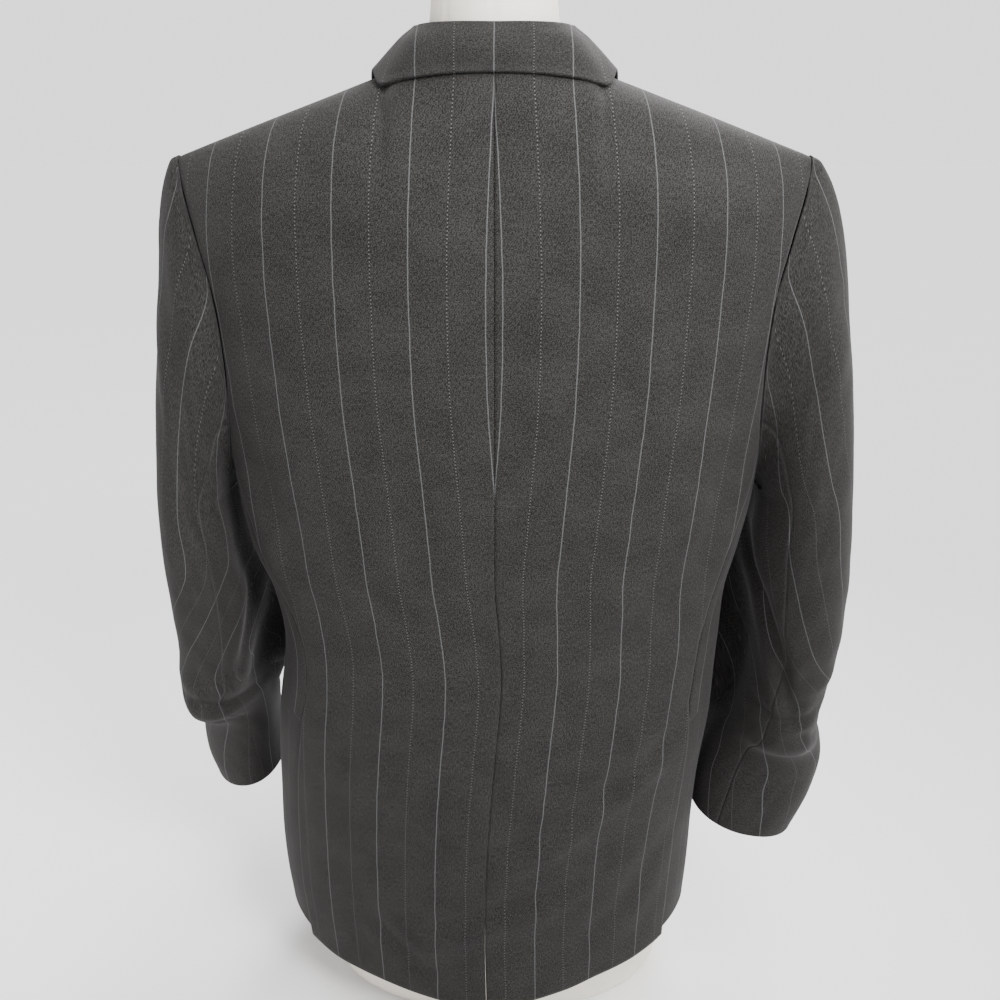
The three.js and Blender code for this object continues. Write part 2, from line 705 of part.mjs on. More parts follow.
function sectionPoint(section, share) {
  const angle = share * 2 * Math.PI;
  const middleX = (section.outer + section.inner) / 2;
  const middleY = (section.rear + section.fore) / 2;
  const radiusX = (section.outer - section.inner) / 2;
  const radiusY = (section.rear - section.fore) / 2;
  const forward = -Math.sin(angle);
  const turnedIn = section.twist * Math.max(forward, 0) ** 2;
  return new THREE.Vector3(
    middleX + radiusX * signedPower(Math.cos(angle), sleeveRound) - turnedIn,
    middleY - radiusY * signedPower(forward, sleeveRound),
    section.z + section.raise * forward - section.roll * Math.cos(angle),
  );
}

// Cap rows between the armhole and the first full section: how far along, how far
// the cloth stands out of the armhole, and how far down it has come
const capRows = [
  { along: 0, out: 0, down: 0 },
  { along: 0.08, out: 0.17, down: 0.02 },
  { along: 0.26, out: 0.42, down: 0.13 },
  { along: 0.5, out: 0.65, down: 0.36 },
  { along: 0.75, out: 0.86, down: 0.68 },
];
const sleeveStart = 0.6;        // the sleeve's first edge outside the body's
const sleeveSeamInset = 0.18;   // each sleeve piece's edge inside the seam line

function sleeveGrid(table) {
  const grid = [];
  for (const row of capRows) {
    grid.push(loop.map((p, i) => {
      const full = sectionPoint(table[0], loopShares[i]);
      return new THREE.Vector3(
        mix(p.x + sleeveStart, full.x, row.out),
        mix(p.y, full.y, row.along),
        mix(p.z, full.z, row.down),
      );
    }));
  }
  for (const section of table) {
    grid.push(loopShares.map((share) => sectionPoint(section, share)));
  }
  return grid;
}

// Normals of a tube of points, facing away from the middle of each row
function tubeNormals(grid) {
  return grid.map((row, r) => row.map((p, c) => {
    const before = row[(c + row.length - 1) % row.length];
    const after = row[(c + 1) % row.length];
    const above = grid[Math.max(r - 1, 0)][c];
    const below = grid[Math.min(r + 1, grid.length - 1)][c];
    const n = after.clone().sub(before).cross(below.clone().sub(above)).normalize();
    const middle = row.reduce((sum, q) => sum.add(q), new THREE.Vector3()).divideScalar(row.length);
    return n.dot(p.clone().sub(middle)) < 0 ? n.negate() : n;
  }));
}

function addSleeve(suffix, sign, table) {
  const grid = sleeveGrid(table);
  const normals = tubeNormals(grid);
  const rear = loopShares.findIndex((s) => s >= topSeamRear);
  const fore = loopShares.findIndex((s) => s >= topSeamFore);
  const count = loop.length;
  const pick = (start, end) => {
    const points = [];
    const directions = [];
    grid.forEach((row, r) => {
      const cut = [];
      const facing = [];
      for (let c = start; c <= end; c += 1) {
        const p = row[(c + count) % count].clone();
        if (c === start || c === end) {
          const inward = row[(c + (c === start ? 1 : -1) + count) % count].clone().sub(p);
          p.addScaledVector(inward.normalize(), sleeveSeamInset);
        }
        cut.push(p);
        facing.push(normals[r][(c + count) % count]);
      }
      points.push(cut);
      directions.push(facing);
    });
    return [points, directions];
  };
  addPanel(`top_sleeve_${suffix}`, sign, ...pick(fore - count, rear));
  addPanel(`under_sleeve_${suffix}`, sign, ...pick(rear, fore));
}

addSleeve('left', 1, sleeveLeft);
addSleeve('right', -1, sleeveRight);

// Buttons in three pairs, the top pair wider apart and beside the lapels
const buttonRows = [
  { level: 'low', z: 315, x: 60 },
  { level: 'middle', z: fasteningHeight - 8, x: 60 },
  { level: 'high', z: 512, x: 98 },
];
const buttonStandoff = 0.7;

function buttonGeometry() {
  const profile = [
    new THREE.Vector2(0, 0),
    new THREE.Vector2(buttonRadius * 0.7, 0),
    new THREE.Vector2(buttonRadius, buttonHeight * 0.45),
    new THREE.Vector2(buttonRadius * 0.94, buttonHeight),
    new THREE.Vector2(buttonRadius * 0.7, buttonHeight * 0.72),
    new THREE.Vector2(0, buttonHeight * 0.66),
  ];
  const lathe = new THREE.LatheGeometry(profile, 14);
  lathe.deleteAttribute('normal');
  lathe.deleteAttribute('uv');
  return mergeVertices(lathe, 1e-4);
}

for (const row of buttonRows) {
  for (const sign of [1, -1]) {
    const onLeftFront = sign > 0 || row.z < fasteningHeight;
    const found = frontPoint(onLeftFront ? sign * row.x : row.x, row.z, onLeftFront);
    if (!onLeftFront) {
      found.p.x *= -1;
      found.n.x *= -1;
    }
    found.p.addScaledVector(found.n, buttonStandoff);
    found.p.x += at(bodyRings, row.z, 'lean');
    const name = `button_${row.level}_${sign > 0 ? 'left' : 'right'}`;
    const button = add(name, buttonGeometry(), horn);
    button.position.copy(found.p);
    button.quaternion.setFromUnitVectors(new THREE.Vector3(0, 1, 0), found.n);
  }
}

// Dress form: closed rings from the floor to the neck
const formColumns = 28;
const formRound = 0.92;
const formShoulder = { low: 690, high: 760, power: 4 };

function formRow(z) {
  const half = at(formRings, z, 'half');
  const line = topLine(neckHalf) - formShoulderClear - z;
  const ridge = neckHalf + line / shoulderFall;
  const width = Math.min(half, ridge);
  const onShoulder = smooth(formShoulder.low, formShoulder.high, z);
  const row = [];
  for (let c = 0; c < formColumns; c += 1) {
    const angle = (c / formColumns) * 2 * Math.PI;
    const s = Math.sin(angle);
    const behind = Math.cos(angle) >= 0;
    const x = width * signedPower(s, formRound);
    const depth = at(formRings, z, behind ? 'back' : 'front');
    const plain = depth * signedPower(Math.cos(angle), formRound);
    const clear = mix(formClear, formNeckClear, onShoulder);
    const skin = behind
      ? Math.max(backY(x, z + clear) - clear / 2, ridgeY)
      : Math.min(frontY(x, z + clear) + clear, ridgeY);
    const share = Math.min(Math.abs(x) / width, 1);
    const close = mix(1, Math.sqrt(1 - share ** formShoulder.power), onShoulder);
    const kept = behind ? Math.min(plain, skin) : Math.max(plain, skin);
    const centre = ridgeY * onShoulder;
    row.push(new THREE.Vector3(x, centre + (kept - centre) * close, z));
  }
  return row;
}

function ovalRow(ring) {
  const row = [];
  const middle = (ring.back + ring.front) / 2;
  for (let c = 0; c < formColumns; c += 1) {
    const angle = (c / formColumns) * 2 * Math.PI;
    const y = middle + ((ring.back - ring.front) / 2) * Math.cos(angle);
    row.push(new THREE.Vector3(ring.half * Math.sin(angle), y, ring.z));
  }
  return row;
}

// Closed body through rings, with a flat face at each end
function loft(rings) {
  const positions = [];
  const index = [];
  const count = rings[0].length;
  for (const row of rings) {
    for (const p of row) positions.push(p.x, p.y, p.z);
  }
  for (let r = 0; r + 1 < rings.length; r += 1) {
    for (let c = 0; c < count; c += 1) {
      const next = (c + 1) % count;
      const a = r * count + c;
      const b = r * count + next;
      index.push(a, b, b + count, a, b + count, a + count);
    }
  }
  for (const r of [0, rings.length - 1]) {
    const middle = positions.length / 3;
    const centre = rings[r].reduce((sum, p) => sum.add(p), new THREE.Vector3()).divideScalar(count);
    positions.push(centre.x, centre.y, centre.z);
    for (let c = 0; c < count; c += 1) {
      const a = r * count + c;
      const b = r * count + ((c + 1) % count);
      if (r === 0) index.push(b, a, middle);
      else index.push(a, b, middle);
    }
  }
  return facingOut(positions, index);
}

const formHeights = [0, 8, 60, 150, 250, 361, 450, 540, 630, 690, 725, 750, 770, 785, 798, 809];
add('form_torso', loft([...formHeights.map(formRow), ...neckRings.map(ovalRow)]), linen);

const capRings = [
  { ...neckCap, z: neckCap.low },
  { ...neckCap, z: mix(neckCap.low, neckCap.high, 0.6) },
  { half: neckCap.half - 4, back: neckCap.back - 4, front: neckCap.front + 4, z: neckCap.high },
];
add('form_neck_cap', loft(capRings.map(ovalRow)), linen);

// The origin goes under the middle of the whole box
const middle = new THREE.Box3().setFromObject(group).getCenter(new THREE.Vector3());
group.position.set(-middle.x, -middle.y, 0);

export default group;
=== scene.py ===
# Double breasted pinstripe blazer on a limbless dress form, seen from behind.
import math
from bisect import bisect_left
import bpy
import bmesh
from mathutils import Vector, Matrix, noise


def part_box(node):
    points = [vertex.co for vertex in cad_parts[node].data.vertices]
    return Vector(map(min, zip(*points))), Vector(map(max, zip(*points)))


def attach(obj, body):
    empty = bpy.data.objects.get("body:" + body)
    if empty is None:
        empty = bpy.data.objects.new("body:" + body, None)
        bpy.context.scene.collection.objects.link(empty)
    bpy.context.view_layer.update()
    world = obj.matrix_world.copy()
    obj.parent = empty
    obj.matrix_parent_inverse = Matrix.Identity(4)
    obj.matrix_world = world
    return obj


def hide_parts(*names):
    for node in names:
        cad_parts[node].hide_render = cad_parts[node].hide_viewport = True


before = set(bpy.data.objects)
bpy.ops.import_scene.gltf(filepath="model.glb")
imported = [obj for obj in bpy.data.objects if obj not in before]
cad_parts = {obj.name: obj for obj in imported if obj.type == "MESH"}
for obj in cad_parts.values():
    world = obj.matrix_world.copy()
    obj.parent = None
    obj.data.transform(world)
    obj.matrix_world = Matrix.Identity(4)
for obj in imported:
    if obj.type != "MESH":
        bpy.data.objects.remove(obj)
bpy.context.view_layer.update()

# Cloth sizes are in millimetres from the middle of the form; the frame is in metres
capLow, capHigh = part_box("form_neck_cap")
shiftX = (capLow[0] + capHigh[0]) / 2
shiftY = (capLow[1] + capHigh[1]) / 2 - 0.020


def toFrame(p):
    return Vector((p[0] / 1000 + shiftX, p[1] / 1000 + shiftY, p[2] / 1000))


camera = {"eye": (-4, 820, 781), "pitch": 20, "lens": 36, "sensor": 36}

cameraData = bpy.data.cameras.new("camera")
cameraData.lens = camera["lens"]
cameraData.sensor_width = camera["sensor"]
cameraObject = bpy.data.objects.new("camera", cameraData)
bpy.context.collection.objects.link(cameraObject)
cameraObject.location = toFrame(camera["eye"])
cameraObject.rotation_euler = (math.radians(90 - camera["pitch"]), 0, math.pi)
bpy.context.scene.camera = cameraObject
print("camera placed")


# Small maths shared by the pieces
def mix(a, b, t):
    return a + (b - a) * t


def smooth(low, high, value):
    t = min(max((value - low) / (high - low), 0), 1)
    return t * t * (3 - 2 * t)


def signedPower(value, power):
    return math.copysign(abs(value) ** power, value)


def table(*rows):
    # Columns of smooth values: rows hold the place first, then one value a column
    places = [row[0] for row in rows]
    columns = [[row[c] for row in rows] for c in range(1, len(rows[0]))]

    def look(z, column=0):
        values = columns[column]
        last = len(places) - 1
        if z <= places[0]:
            return values[0]
        if z >= places[last]:
            return values[last]
        i = max(bisect_left(places, z) - 1, 0)

        def slope(k):
            a, b = max(k - 1, 0), min(k + 1, last)
            return (values[b] - values[a]) / (places[b] - places[a])

        step = places[i + 1] - places[i]
        t = (z - places[i]) / step
        h = t * t * (3 - 2 * t)
        start = t * (1 - t) * (1 - t) * step * slope(i)
        end = -t * t * (1 - t) * step * slope(i + 1)
        return values[i] * (1 - h) + values[i + 1] * h + start + end

    return look


# The body of the jacket: sections by height, and the seams across them
body = {
    "neckHeight": 826, "neckHalf": 74, "shoulderTip": 238, "shoulderFall": 0.36,
    "ridge": 20, "neckBack": 92, "ventTop": 300, "ventLap": 18, "hem": 60, "hemRise": 7,
    "fastening": 415, "backCut": 535, "frontCut": 520, "underarm": 512,
    "wall": 2.0, "layer": 1.3, "seam": 0.3,
}
# height, half width, depth behind, depth in front, squareness behind and in front, lean
sections = table(
    (60, 197, 146, 148, 1.6, 2.1, 8),
    (130, 199.5, 137, 145, 1.7, 2.15, 9),
    (206, 199.5, 129, 142, 1.85, 2.2, 7),
    (288, 200, 121, 139, 2.05, 2.25, 1),
    (361, 196, 114, 136, 2.15, 2.3, -5),
    (411, 200, 113, 136, 2.2, 2.3, -3),
    (449, 211, 115, 138, 2.2, 2.3, 0),
    (486, 218, 118, 140, 2.2, 2.3, 0),
    (535, 223, 122, 142, 2.2, 2.3, 0),
    (635, 235, 127, 138, 2.2, 2.2, 0),
    (715, 250, 127, 128, 2.2, 2.2, 0),
    (830, 258, 127, 122, 2.2, 2.2, 0),
)
halfWidth, depthBehind, depthBefore, squareBehind, squareBefore, leanColumn = range(6)
backSeam = table((60, 163), (130, 168), (240, 170), (373, 168), (450, 192), (535, 216))
frontSeam = table((60, 178), (240, 174), (373, 170), (450, 190), (520, 215))
armholeBack = table((535, 216), (587, 210), (635, 208), (676, 211), (715, 221), (763, 238))
armholeFront = table(
    (520, 215), (560, 210), (610, 206), (660, 207), (700, 214), (735, 226), (763, 238)
)
frontEdge = table(
    (60, -86), (400, -86), (415, -80), (520, -38), (610, 0), (700, 40), (770, 66),
    (800, 73), (826, 74),
)


def topLine(x):
    return body["neckHeight"] - body["shoulderFall"] * max(abs(x) - body["neckHalf"], 0)


def dome(drop, reach, power):
    left = 1 - min(max(drop / reach, 0), 1)
    return (1 - left ** power) ** (1 / power)


def backY(x, z):
    out = min(abs(x) / sections(z, halfWidth), 0.999)
    square = sections(z, squareBehind)
    full = sections(z, depthBehind) * (1 - out ** square) ** (1 / square)
    inNeck = min(abs(x) / body["neckHalf"], 1)
    seam = body["ridge"] + (body["neckBack"] - body["ridge"]) * math.sqrt(1 - inNeck ** 2)
    toSide = smooth(0, 110, abs(x))
    rounded = dome(topLine(x) - z, mix(150, 85, toSide), mix(1.5, 2, toSide))
    return seam + (full - seam) * rounded


def frontY(x, z):
    out = min(abs(x) / sections(z, halfWidth), 0.999)
    square = sections(z, squareBefore)
    full = -sections(z, depthBefore) * (1 - out ** square) ** (1 / square)
    toSide = smooth(60, 200, abs(x))
    rounded = dome(topLine(x) - z, mix(190, 120, toSide), mix(1.5, 1.8, toSide))
    return body["ridge"] + (full - body["ridge"]) * rounded


def ringPoint(angle, z):
    s, c = math.sin(angle), math.cos(angle)
    behind = c >= 0
    power = 2 / sections(z, squareBehind if behind else squareBefore)
    depth = sections(z, depthBehind if behind else depthBefore)
    return Vector((sections(z, halfWidth) * signedPower(s, power), depth * signedPower(c, power), z))


def ringAngle(x, z, behind):
    square = sections(z, squareBehind if behind else squareBefore)
    s = math.asin(min(max(signedPower(x / sections(z, halfWidth), square / 2), -1), 1))
    return s if behind else math.pi - s


# Lengths across the back and front at a height, measured round the cloth
def arcTable(depth, top):
    heights = list(range(60, top + 1, 15))
    rows = []
    for z in heights:
        lengths = [0.0]
        for x in range(4, 252, 4):
            step = math.hypot(4, depth(x, z) - depth(x - 4, z))
            lengths.append(lengths[-1] + step)
        rows.append(lengths)

    def look(x, z):
        row = min(max((z - 60) / 15, 0), len(heights) - 1.001)
        column = min(abs(x) / 4, len(rows[0]) - 1.001)
        r, c = int(row), int(column)
        near = mix(rows[r][c], rows[r][c + 1], column - c)
        far = mix(rows[r + 1][c], rows[r + 1][c + 1], column - c)
        return math.copysign(mix(near, far, row - r), x)

    return look


backArc = arcTable(backY, 690)
frontArc = arcTable(frontY, 660)


# Soft troughs and ridges: each runs along a line of points on the cloth
def crease(height, width, *points, shoulder=0.3):
    return {"points": points, "width": width, "height": height, "shoulder": shoulder}


def creaseHeight(creases, a, b):
    total = 0.0
    for line in creases:
        points, width = line["points"], line["width"]
        best, along = 1e9, 0.0
        for i in range(len(points) - 1):
            (ax, az), (bx, bz) = points[i], points[i + 1]
            dx, dz = bx - ax, bz - az
            t = min(max(((a - ax) * dx + (b - az) * dz) / (dx * dx + dz * dz), 0), 1)
            distance = math.hypot(a - ax - dx * t, b - az - dz * t)
            if distance < best:
                best, along = distance, (i + t) / (len(points) - 1)
        if best < width * 3:
            fade = math.sin(math.pi * min(max(along, 0.04), 0.96)) ** 0.6
            near = best / width
            rise = math.exp(-near * near) - line["shoulder"] * math.exp(-((near - 1.9) ** 2))
            total += line["height"] * rise * fade
    return total


def clothPiece(name, nodes, columns, rows, place, relief, inside, wall, finishes, flat, area):
    # A grid is laid on the form by place(u, t), which gives a point and the cloth's grain
    bm = bmesh.new()
    bmesh.ops.create_grid(bm, x_segments=columns, y_segments=rows, size=0.5)
    bm.verts.index_update()
    spots, grains = [], []
    for v in bm.verts:
        u, t = v.co.x + 0.5, v.co.y + 0.5
        point, grain = place(u, t)
        v.co = point
        spots.append((u, t))
        grains.append(grain)
    bm.normal_update()
    facing = sum((f.normal.dot(f.calc_center_median() - inside(f.calc_center_median())) for f in bm.faces))
    if facing < 0:
        bmesh.ops.reverse_faces(bm, faces=bm.faces)
        bm.normal_update()
    for v in bm.verts:
        u, t = spots[v.index]
        v.co += v.normal * relief(u, t, v.co)
    layer = bm.loops.layers.uv.new("grain")
    for f in bm.faces:
        f.smooth = True
        for loop in f.loops:
            loop[layer].uv = grains[loop.vert.index]
    for v in bm.verts:
        v.co = toFrame(v.co)
    mesh = bpy.data.meshes.new(name)
    bm.to_mesh(mesh)
    bm.free()
    piece = bpy.data.objects.new(name, mesh)
    bpy.context.collection.objects.link(piece)
    for finish in finishes:
        mesh.materials.append(finish)
    thick = piece.modifiers.new("wall", "SOLIDIFY")
    thick.thickness = wall / 1000
    thick.offset = -1
    thick.material_offset = 1
    thick.material_offset_rim = 0
    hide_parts(*nodes)
    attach(piece, "root")
    print("made", name)
    return piece


def sided(p, sign):
    return Vector((sign * p[0] + sections(p[2], leanColumn), p[1], p[2]))


def unevenness(p, seed, size, height):
    return noise.noise(Vector((p[0] / size, p[1] / size + seed, p[2] / size))) * height


def ditch(distance, reach, depth):
    return -depth * math.exp(-(distance / reach) ** 2)


def bodyAxis(p):
    return Vector((0, 0, p[2]))


# Materials
class Maker:
    # Short words for wiring a material's nodes
    def __init__(self, name):
        self.material = bpy.data.materials.new(name)
        self.material.use_nodes = True
        self.tree = self.material.node_tree
        self.shader = self.tree.nodes["Principled BSDF"]

    def node(self, kind, **sockets):
        made = self.tree.nodes.new(kind)
        for key, value in sockets.items():
            self.put(value, made.inputs[key.replace("_", " ")])
        return made

    def put(self, value, socket):
        if isinstance(value, bpy.types.NodeSocket):
            self.tree.links.new(value, socket)
        else:
            socket.default_value = value

    def maths(self, operation, a, b=0.0, clamp=False):
        made = self.tree.nodes.new("ShaderNodeMath")
        made.operation = operation
        made.use_clamp = clamp
        self.put(a, made.inputs[0])
        self.put(b, made.inputs[1])
        return made.outputs[0]

    def ramp(self, value, low, high):
        made = self.tree.nodes.new("ShaderNodeMapRange")
        made.interpolation_type = "SMOOTHSTEP"
        self.put(value, made.inputs["Value"])
        made.inputs["From Min"].default_value = low
        made.inputs["From Max"].default_value = high
        return made.outputs["Result"]

    def blend(self, share, a, b):
        made = self.tree.nodes.new("ShaderNodeMix")
        made.data_type = "RGBA"
        self.put(share, made.inputs["Factor"])
        self.put(a, made.inputs["A"])
        self.put(b, made.inputs["B"])
        return made.outputs["Result"]

    def noise(self, vector, scale, detail=2.0, roughness=0.5):
        made = self.tree.nodes.new("ShaderNodeTexNoise")
        self.put(vector, made.inputs["Vector"])
        made.inputs["Scale"].default_value = scale
        made.inputs["Detail"].default_value = detail
        made.inputs["Roughness"].default_value = roughness
        return made.outputs["Fac"]

    def join(self, x, y, z=0.0):
        made = self.tree.nodes.new("ShaderNodeCombineXYZ")
        for value, socket in zip((x, y, z), made.inputs):
            self.put(value, socket)
        return made.outputs[0]

    def grain(self):
        split = self.tree.nodes.new("ShaderNodeSeparateXYZ")
        uv = self.tree.nodes.new("ShaderNodeUVMap")
        uv.uv_map = "grain"
        self.tree.links.new(uv.outputs["UV"], split.inputs[0])
        return split.outputs[0], split.outputs[1]

    def bump(self, height, distance, strength=1.0):
        made = self.tree.nodes.new("ShaderNodeBump")
        made.inputs["Strength"].default_value = strength
        made.inputs["Distance"].default_value = distance
        self.put(height, made.inputs["Height"])
        self.tree.links.new(made.outputs[0], self.shader.inputs["Normal"])

    def gloss(self, **sockets):
        for key, value in sockets.items():
            self.shader.inputs[key.replace("_", " ")].default_value = value


wool = {
    "stripe": 53.5, "line": 0.40, "dotLength": 2.6, "twill": 1.5,
    "dark": (0.0030, 0.0029, 0.0028, 1), "light": (0.0370, 0.0354, 0.0333, 1),
    "chalk": (0.076, 0.077, 0.078, 1), "dots": (0.100, 0.100, 0.100, 1),
    "shadow": (0.0032, 0.0031, 0.0030, 1),
}


def makeWool(name, settings):
    m = Maker(name)
    across, along = m.grain()
    flat = m.join(across, along)
    wander = m.noise(m.join(m.maths("MULTIPLY", across, 0.02), m.maths("MULTIPLY", along, 0.05)), 1.0)
    lined = m.maths("ADD", across, m.maths("MULTIPLY", m.maths("SUBTRACT", wander, 0.5), 1.2))
    # heathered yarns: fine specks, longer slubs and soft clouds
    specks = m.noise(flat, 1.1, 3.0, 0.75)
    drawnOut = m.join(m.maths("MULTIPLY", across, 0.9), m.maths("MULTIPLY", along, 0.35))
    slubs = m.noise(drawnOut, 1.0, 3.0, 0.65)
    clouds = m.noise(flat, 0.03, 3.0, 0.6)
    diagonal = m.maths("ADD", m.maths("MULTIPLY", across, 0.8), m.maths("MULTIPLY", along, 0.6))
    wave = m.maths("SINE", m.maths("MULTIPLY", diagonal, 2 * math.pi / settings["twill"]))
    twill = m.maths("ADD", m.maths("MULTIPLY", wave, 0.5), 0.5)
    tone = m.maths("ADD", m.maths("MULTIPLY", specks, 0.62), m.maths("MULTIPLY", slubs, 0.28))
    tone = m.maths("ADD", tone, m.maths("MULTIPLY", clouds, 0.08))
    tone = m.maths("ADD", tone, m.maths("MULTIPLY", twill, 0.03))
    cloth = m.blend(m.ramp(tone, 0.405, 0.63), settings["dark"], settings["light"])
    # plain stripes, and dotted ones halfway between them
    period = settings["stripe"]
    fromPlain = m.maths("PINGPONG", lined, period / 2)
    fromDotted = m.maths("PINGPONG", m.maths("ADD", lined, period / 2), period / 2)
    broken = m.ramp(m.noise(m.join(0.0, along), 0.55, 2.0, 0.7), 0.30, 0.55)
    plain = m.maths("SUBTRACT", 1.0, m.ramp(fromPlain, settings["line"] * 0.5, settings["line"] * 1.5))
    plain = m.maths("MULTIPLY", plain, m.maths("ADD", m.maths("MULTIPLY", broken, 0.45), 0.5))
    dash = m.maths("SINE", m.maths("MULTIPLY", along, 2 * math.pi / settings["dotLength"]))
    dotted = m.maths("SUBTRACT", 1.0, m.ramp(fromDotted, settings["line"] * 0.4, settings["line"] * 1.3))
    beads = m.maths("MULTIPLY", dotted, m.ramp(dash, 0.0, 0.8))
    gaps = m.maths("MULTIPLY", dotted, m.ramp(m.maths("MULTIPLY", dash, -1.0), -0.3, 0.6))
    colour = m.blend(m.maths("MULTIPLY", gaps, 0.8), cloth, settings["shadow"])
    colour = m.blend(m.maths("MULTIPLY", beads, 0.75), colour, settings["dots"])
    colour = m.blend(plain, colour, settings["chalk"])
    m.put(colour, m.shader.inputs["Base Color"])
    m.put(m.maths("ADD", m.maths("MULTIPLY", specks, 0.2), 0.78), m.shader.inputs["Roughness"])
    relief = m.maths("ADD", m.maths("MULTIPLY", twill, 0.12), m.maths("MULTIPLY", specks, 0.9))
    relief = m.maths("ADD", relief, m.maths("MULTIPLY", slubs, 0.5))
    m.bump(relief, 0.00022, 0.55)
    m.gloss(Sheen_Weight=0.06, Sheen_Roughness=0.45, Specular_IOR_Level=0.14)
    m.shader.inputs["Sheen Tint"].default_value = (0.72, 0.70, 0.70, 1)
    return m.material


def makeLining(name):
    m = Maker(name)
    across, along = m.grain()
    threads = m.noise(m.join(m.maths("MULTIPLY", across, 3.0), m.maths("MULTIPLY", along, 0.3)), 1.0, 2.0)
    colour = m.blend(threads, (0.018, 0.017, 0.018, 1), (0.036, 0.034, 0.035, 1))
    m.put(colour, m.shader.inputs["Base Color"])
    m.bump(threads, 0.0001, 0.4)
    m.gloss(Roughness=0.42, Sheen_Weight=0.1)
    return m.material


woolCloth = makeWool("pinstripe wool", wool)
lining = makeLining("satin lining")

# Backs, from the centre seam to the armhole, with a vent at the side
back = {
    "columns": 96, "rows": 250, "cutShare": 0.62, "flat": (0.262, 0.795), "area": 0.166,
    "liftStart": 0.55, "liftEnd": 0.84, "flare": 2.0,
    # where the centre seam cuts the stripes: height, distance eaten away
    "eaten": table(
        (60, 9.5), (180, 9.5), (265, 8.9), (352, 8.6), (441, 5.5), (525, 0.3), (598, -4.7),
        (675, -5.9), (740, -4.1), (815, 0),
    ),
    "creases": [
        crease(-2.6, 9, (40, 190), (21, 201), (-42, 225), (-119, 277), (-173, 318)),
        crease(2.2, 14, (30, 176), (-30, 200), (-110, 248), (-160, 285)),
        crease(-2.4, 8, (60, 128), (48, 136), (-4, 157), (-55, 168), (-90, 180)),
        crease(2.0, 12, (70, 110), (0, 138), (-60, 150)),
        crease(-2.0, 8, (120, 150), (102, 122), (67, 93), (40, 76)),
        crease(-1.8, 12, (-60, 96), (-110, 130), (-150, 190)),
        crease(-1.6, 16, (150, 420), (120, 380), (80, 360)),
        crease(-1.6, 16, (-160, 440), (-120, 395), (-70, 372)),
        crease(-2.6, 15, (196, 560), (176, 500), (160, 430)),
        crease(-2.6, 15, (-196, 560), (-178, 500), (-160, 430)),
    ],
}


def ventLift(share, z):
    opening = max(1 - z / body["ventTop"], 0)
    flare = body["wall"] + 0.6 + back["flare"] * opening * smooth(0.5, 1, share)
    closed = 1 - smooth(body["ventTop"] + 4, body["ventTop"] + 24, z)
    return flare * smooth(back["liftStart"], back["liftEnd"], share) * closed


def depthNormal(depth, facing, x, z):
    low = min(z, topLine(x) - 1.5)
    across = depth(x + 0.5, low) - depth(x - 0.5, low)
    up = depth(x, low + 0.5) - depth(x, low - 0.5)
    return (Vector((-across, 1, -up)) * facing).normalized()


def backPlace(sign):
    def place(u, t):
        half = body["seam"] / 2
        if t <= back["cutShare"]:
            z = mix(body["hem"], body["backCut"], t / back["cutShare"])
            x = mix(half, backSeam(z) - half, u)
            lift = ventLift(u, z)
            p = Vector((x, backY(x, z), z)) + depthNormal(backY, 1, x, z) * lift
            p.z += body["hemRise"] * u * u * (1 - smooth(60, 100, z))
        else:
            rise = 1 - (1 - (t - back["cutShare"]) / (1 - back["cutShare"])) ** 1.5
            column = body["shoulderTip"] * u
            edgeZ = mix(body["backCut"], topLine(body["shoulderTip"]), rise)
            z = mix(body["backCut"], topLine(column), rise)
            x = mix(half, armholeBack(edgeZ), u)
            p = Vector((x, backY(x, z), z))
        grain = (sign * (backArc(p.x, p.z) + back["eaten"](p.z)), p.z)
        return sided(p, sign), grain
    return place


def backRelief(u, t, p):
    # soft creases, a fine seam down the centre, and the seam at the armhole
    rise = creaseHeight(back["creases"], p.x, p.z)
    rise += unevenness(p, 3.1, 90, 1.6) * smooth(0, 0.1, u) + unevenness(p, 7.7, 28, 0.5)
    rise *= 1 - 0.8 * smooth(0.9, 1, t)
    rise += ditch(u * 200, 2.2, 0.55)
    rise += ditch((1 - u) * 200, 2.5, 0.3) * smooth(300, 340, p.z)
    pucker = math.sin(p.z / 5.5 + 2 * math.sin(p.z / 23)) * math.exp(-u * 200 / 7)
    return rise + 0.16 * pucker


for side, sign in (("left", 1), ("right", -1)):
    clothPiece(
        f"back_{side}_cloth", [f"back_{side}"], back["columns"], back["rows"], backPlace(sign),
        backRelief, bodyAxis, body["wall"], (woolCloth, lining), back["flat"], back["area"],
    )

# Sides, under the arm, which pass under the back at the vent
sidePanel = {"columns": 40, "rows": 170, "flat": (0.165, 0.480), "area": 0.071}


def sidePlace(sign):
    def place(u, t):
        topZ = mix(body["backCut"], body["frontCut"], u)
        topZ += (body["underarm"] - mix(body["backCut"], body["frontCut"], 0.5)) * 4 * u * (1 - u)
        z = mix(body["hem"], topZ, t)
        under = 1 - smooth(body["ventTop"] - 2, body["ventTop"] + 4, z)
        rearX = backSeam(min(z, body["backCut"])) + mix(body["seam"] / 2, -body["ventLap"], under)
        rear = ringAngle(rearX, z, True)
        fore = ringAngle(frontSeam(z) + body["seam"] / 2, z, False)
        p = ringPoint(mix(rear, fore, u), z)
        p.z += body["hemRise"] * (1 - smooth(60, 100, z))
        length = (fore - rear) * (sections(z, halfWidth) + 60) * 0.5
        return sided(p, sign), (sign * (u * length + 200), z)
    return place


def sideRelief(u, t, p):
    return (unevenness(p, 5.2, 60, 1.0) - 0.4) * smooth(0, 0.1, u) * smooth(0, 0.1, 1 - u) - 0.1


for side, sign in (("left", 1), ("right", -1)):
    clothPiece(
        f"side_{side}_cloth", [f"side_{side}"], sidePanel["columns"], sidePanel["rows"], sidePlace(sign),
        sideRelief, bodyAxis, body["wall"], (woolCloth, lining), sidePanel["flat"], sidePanel["area"],
    )

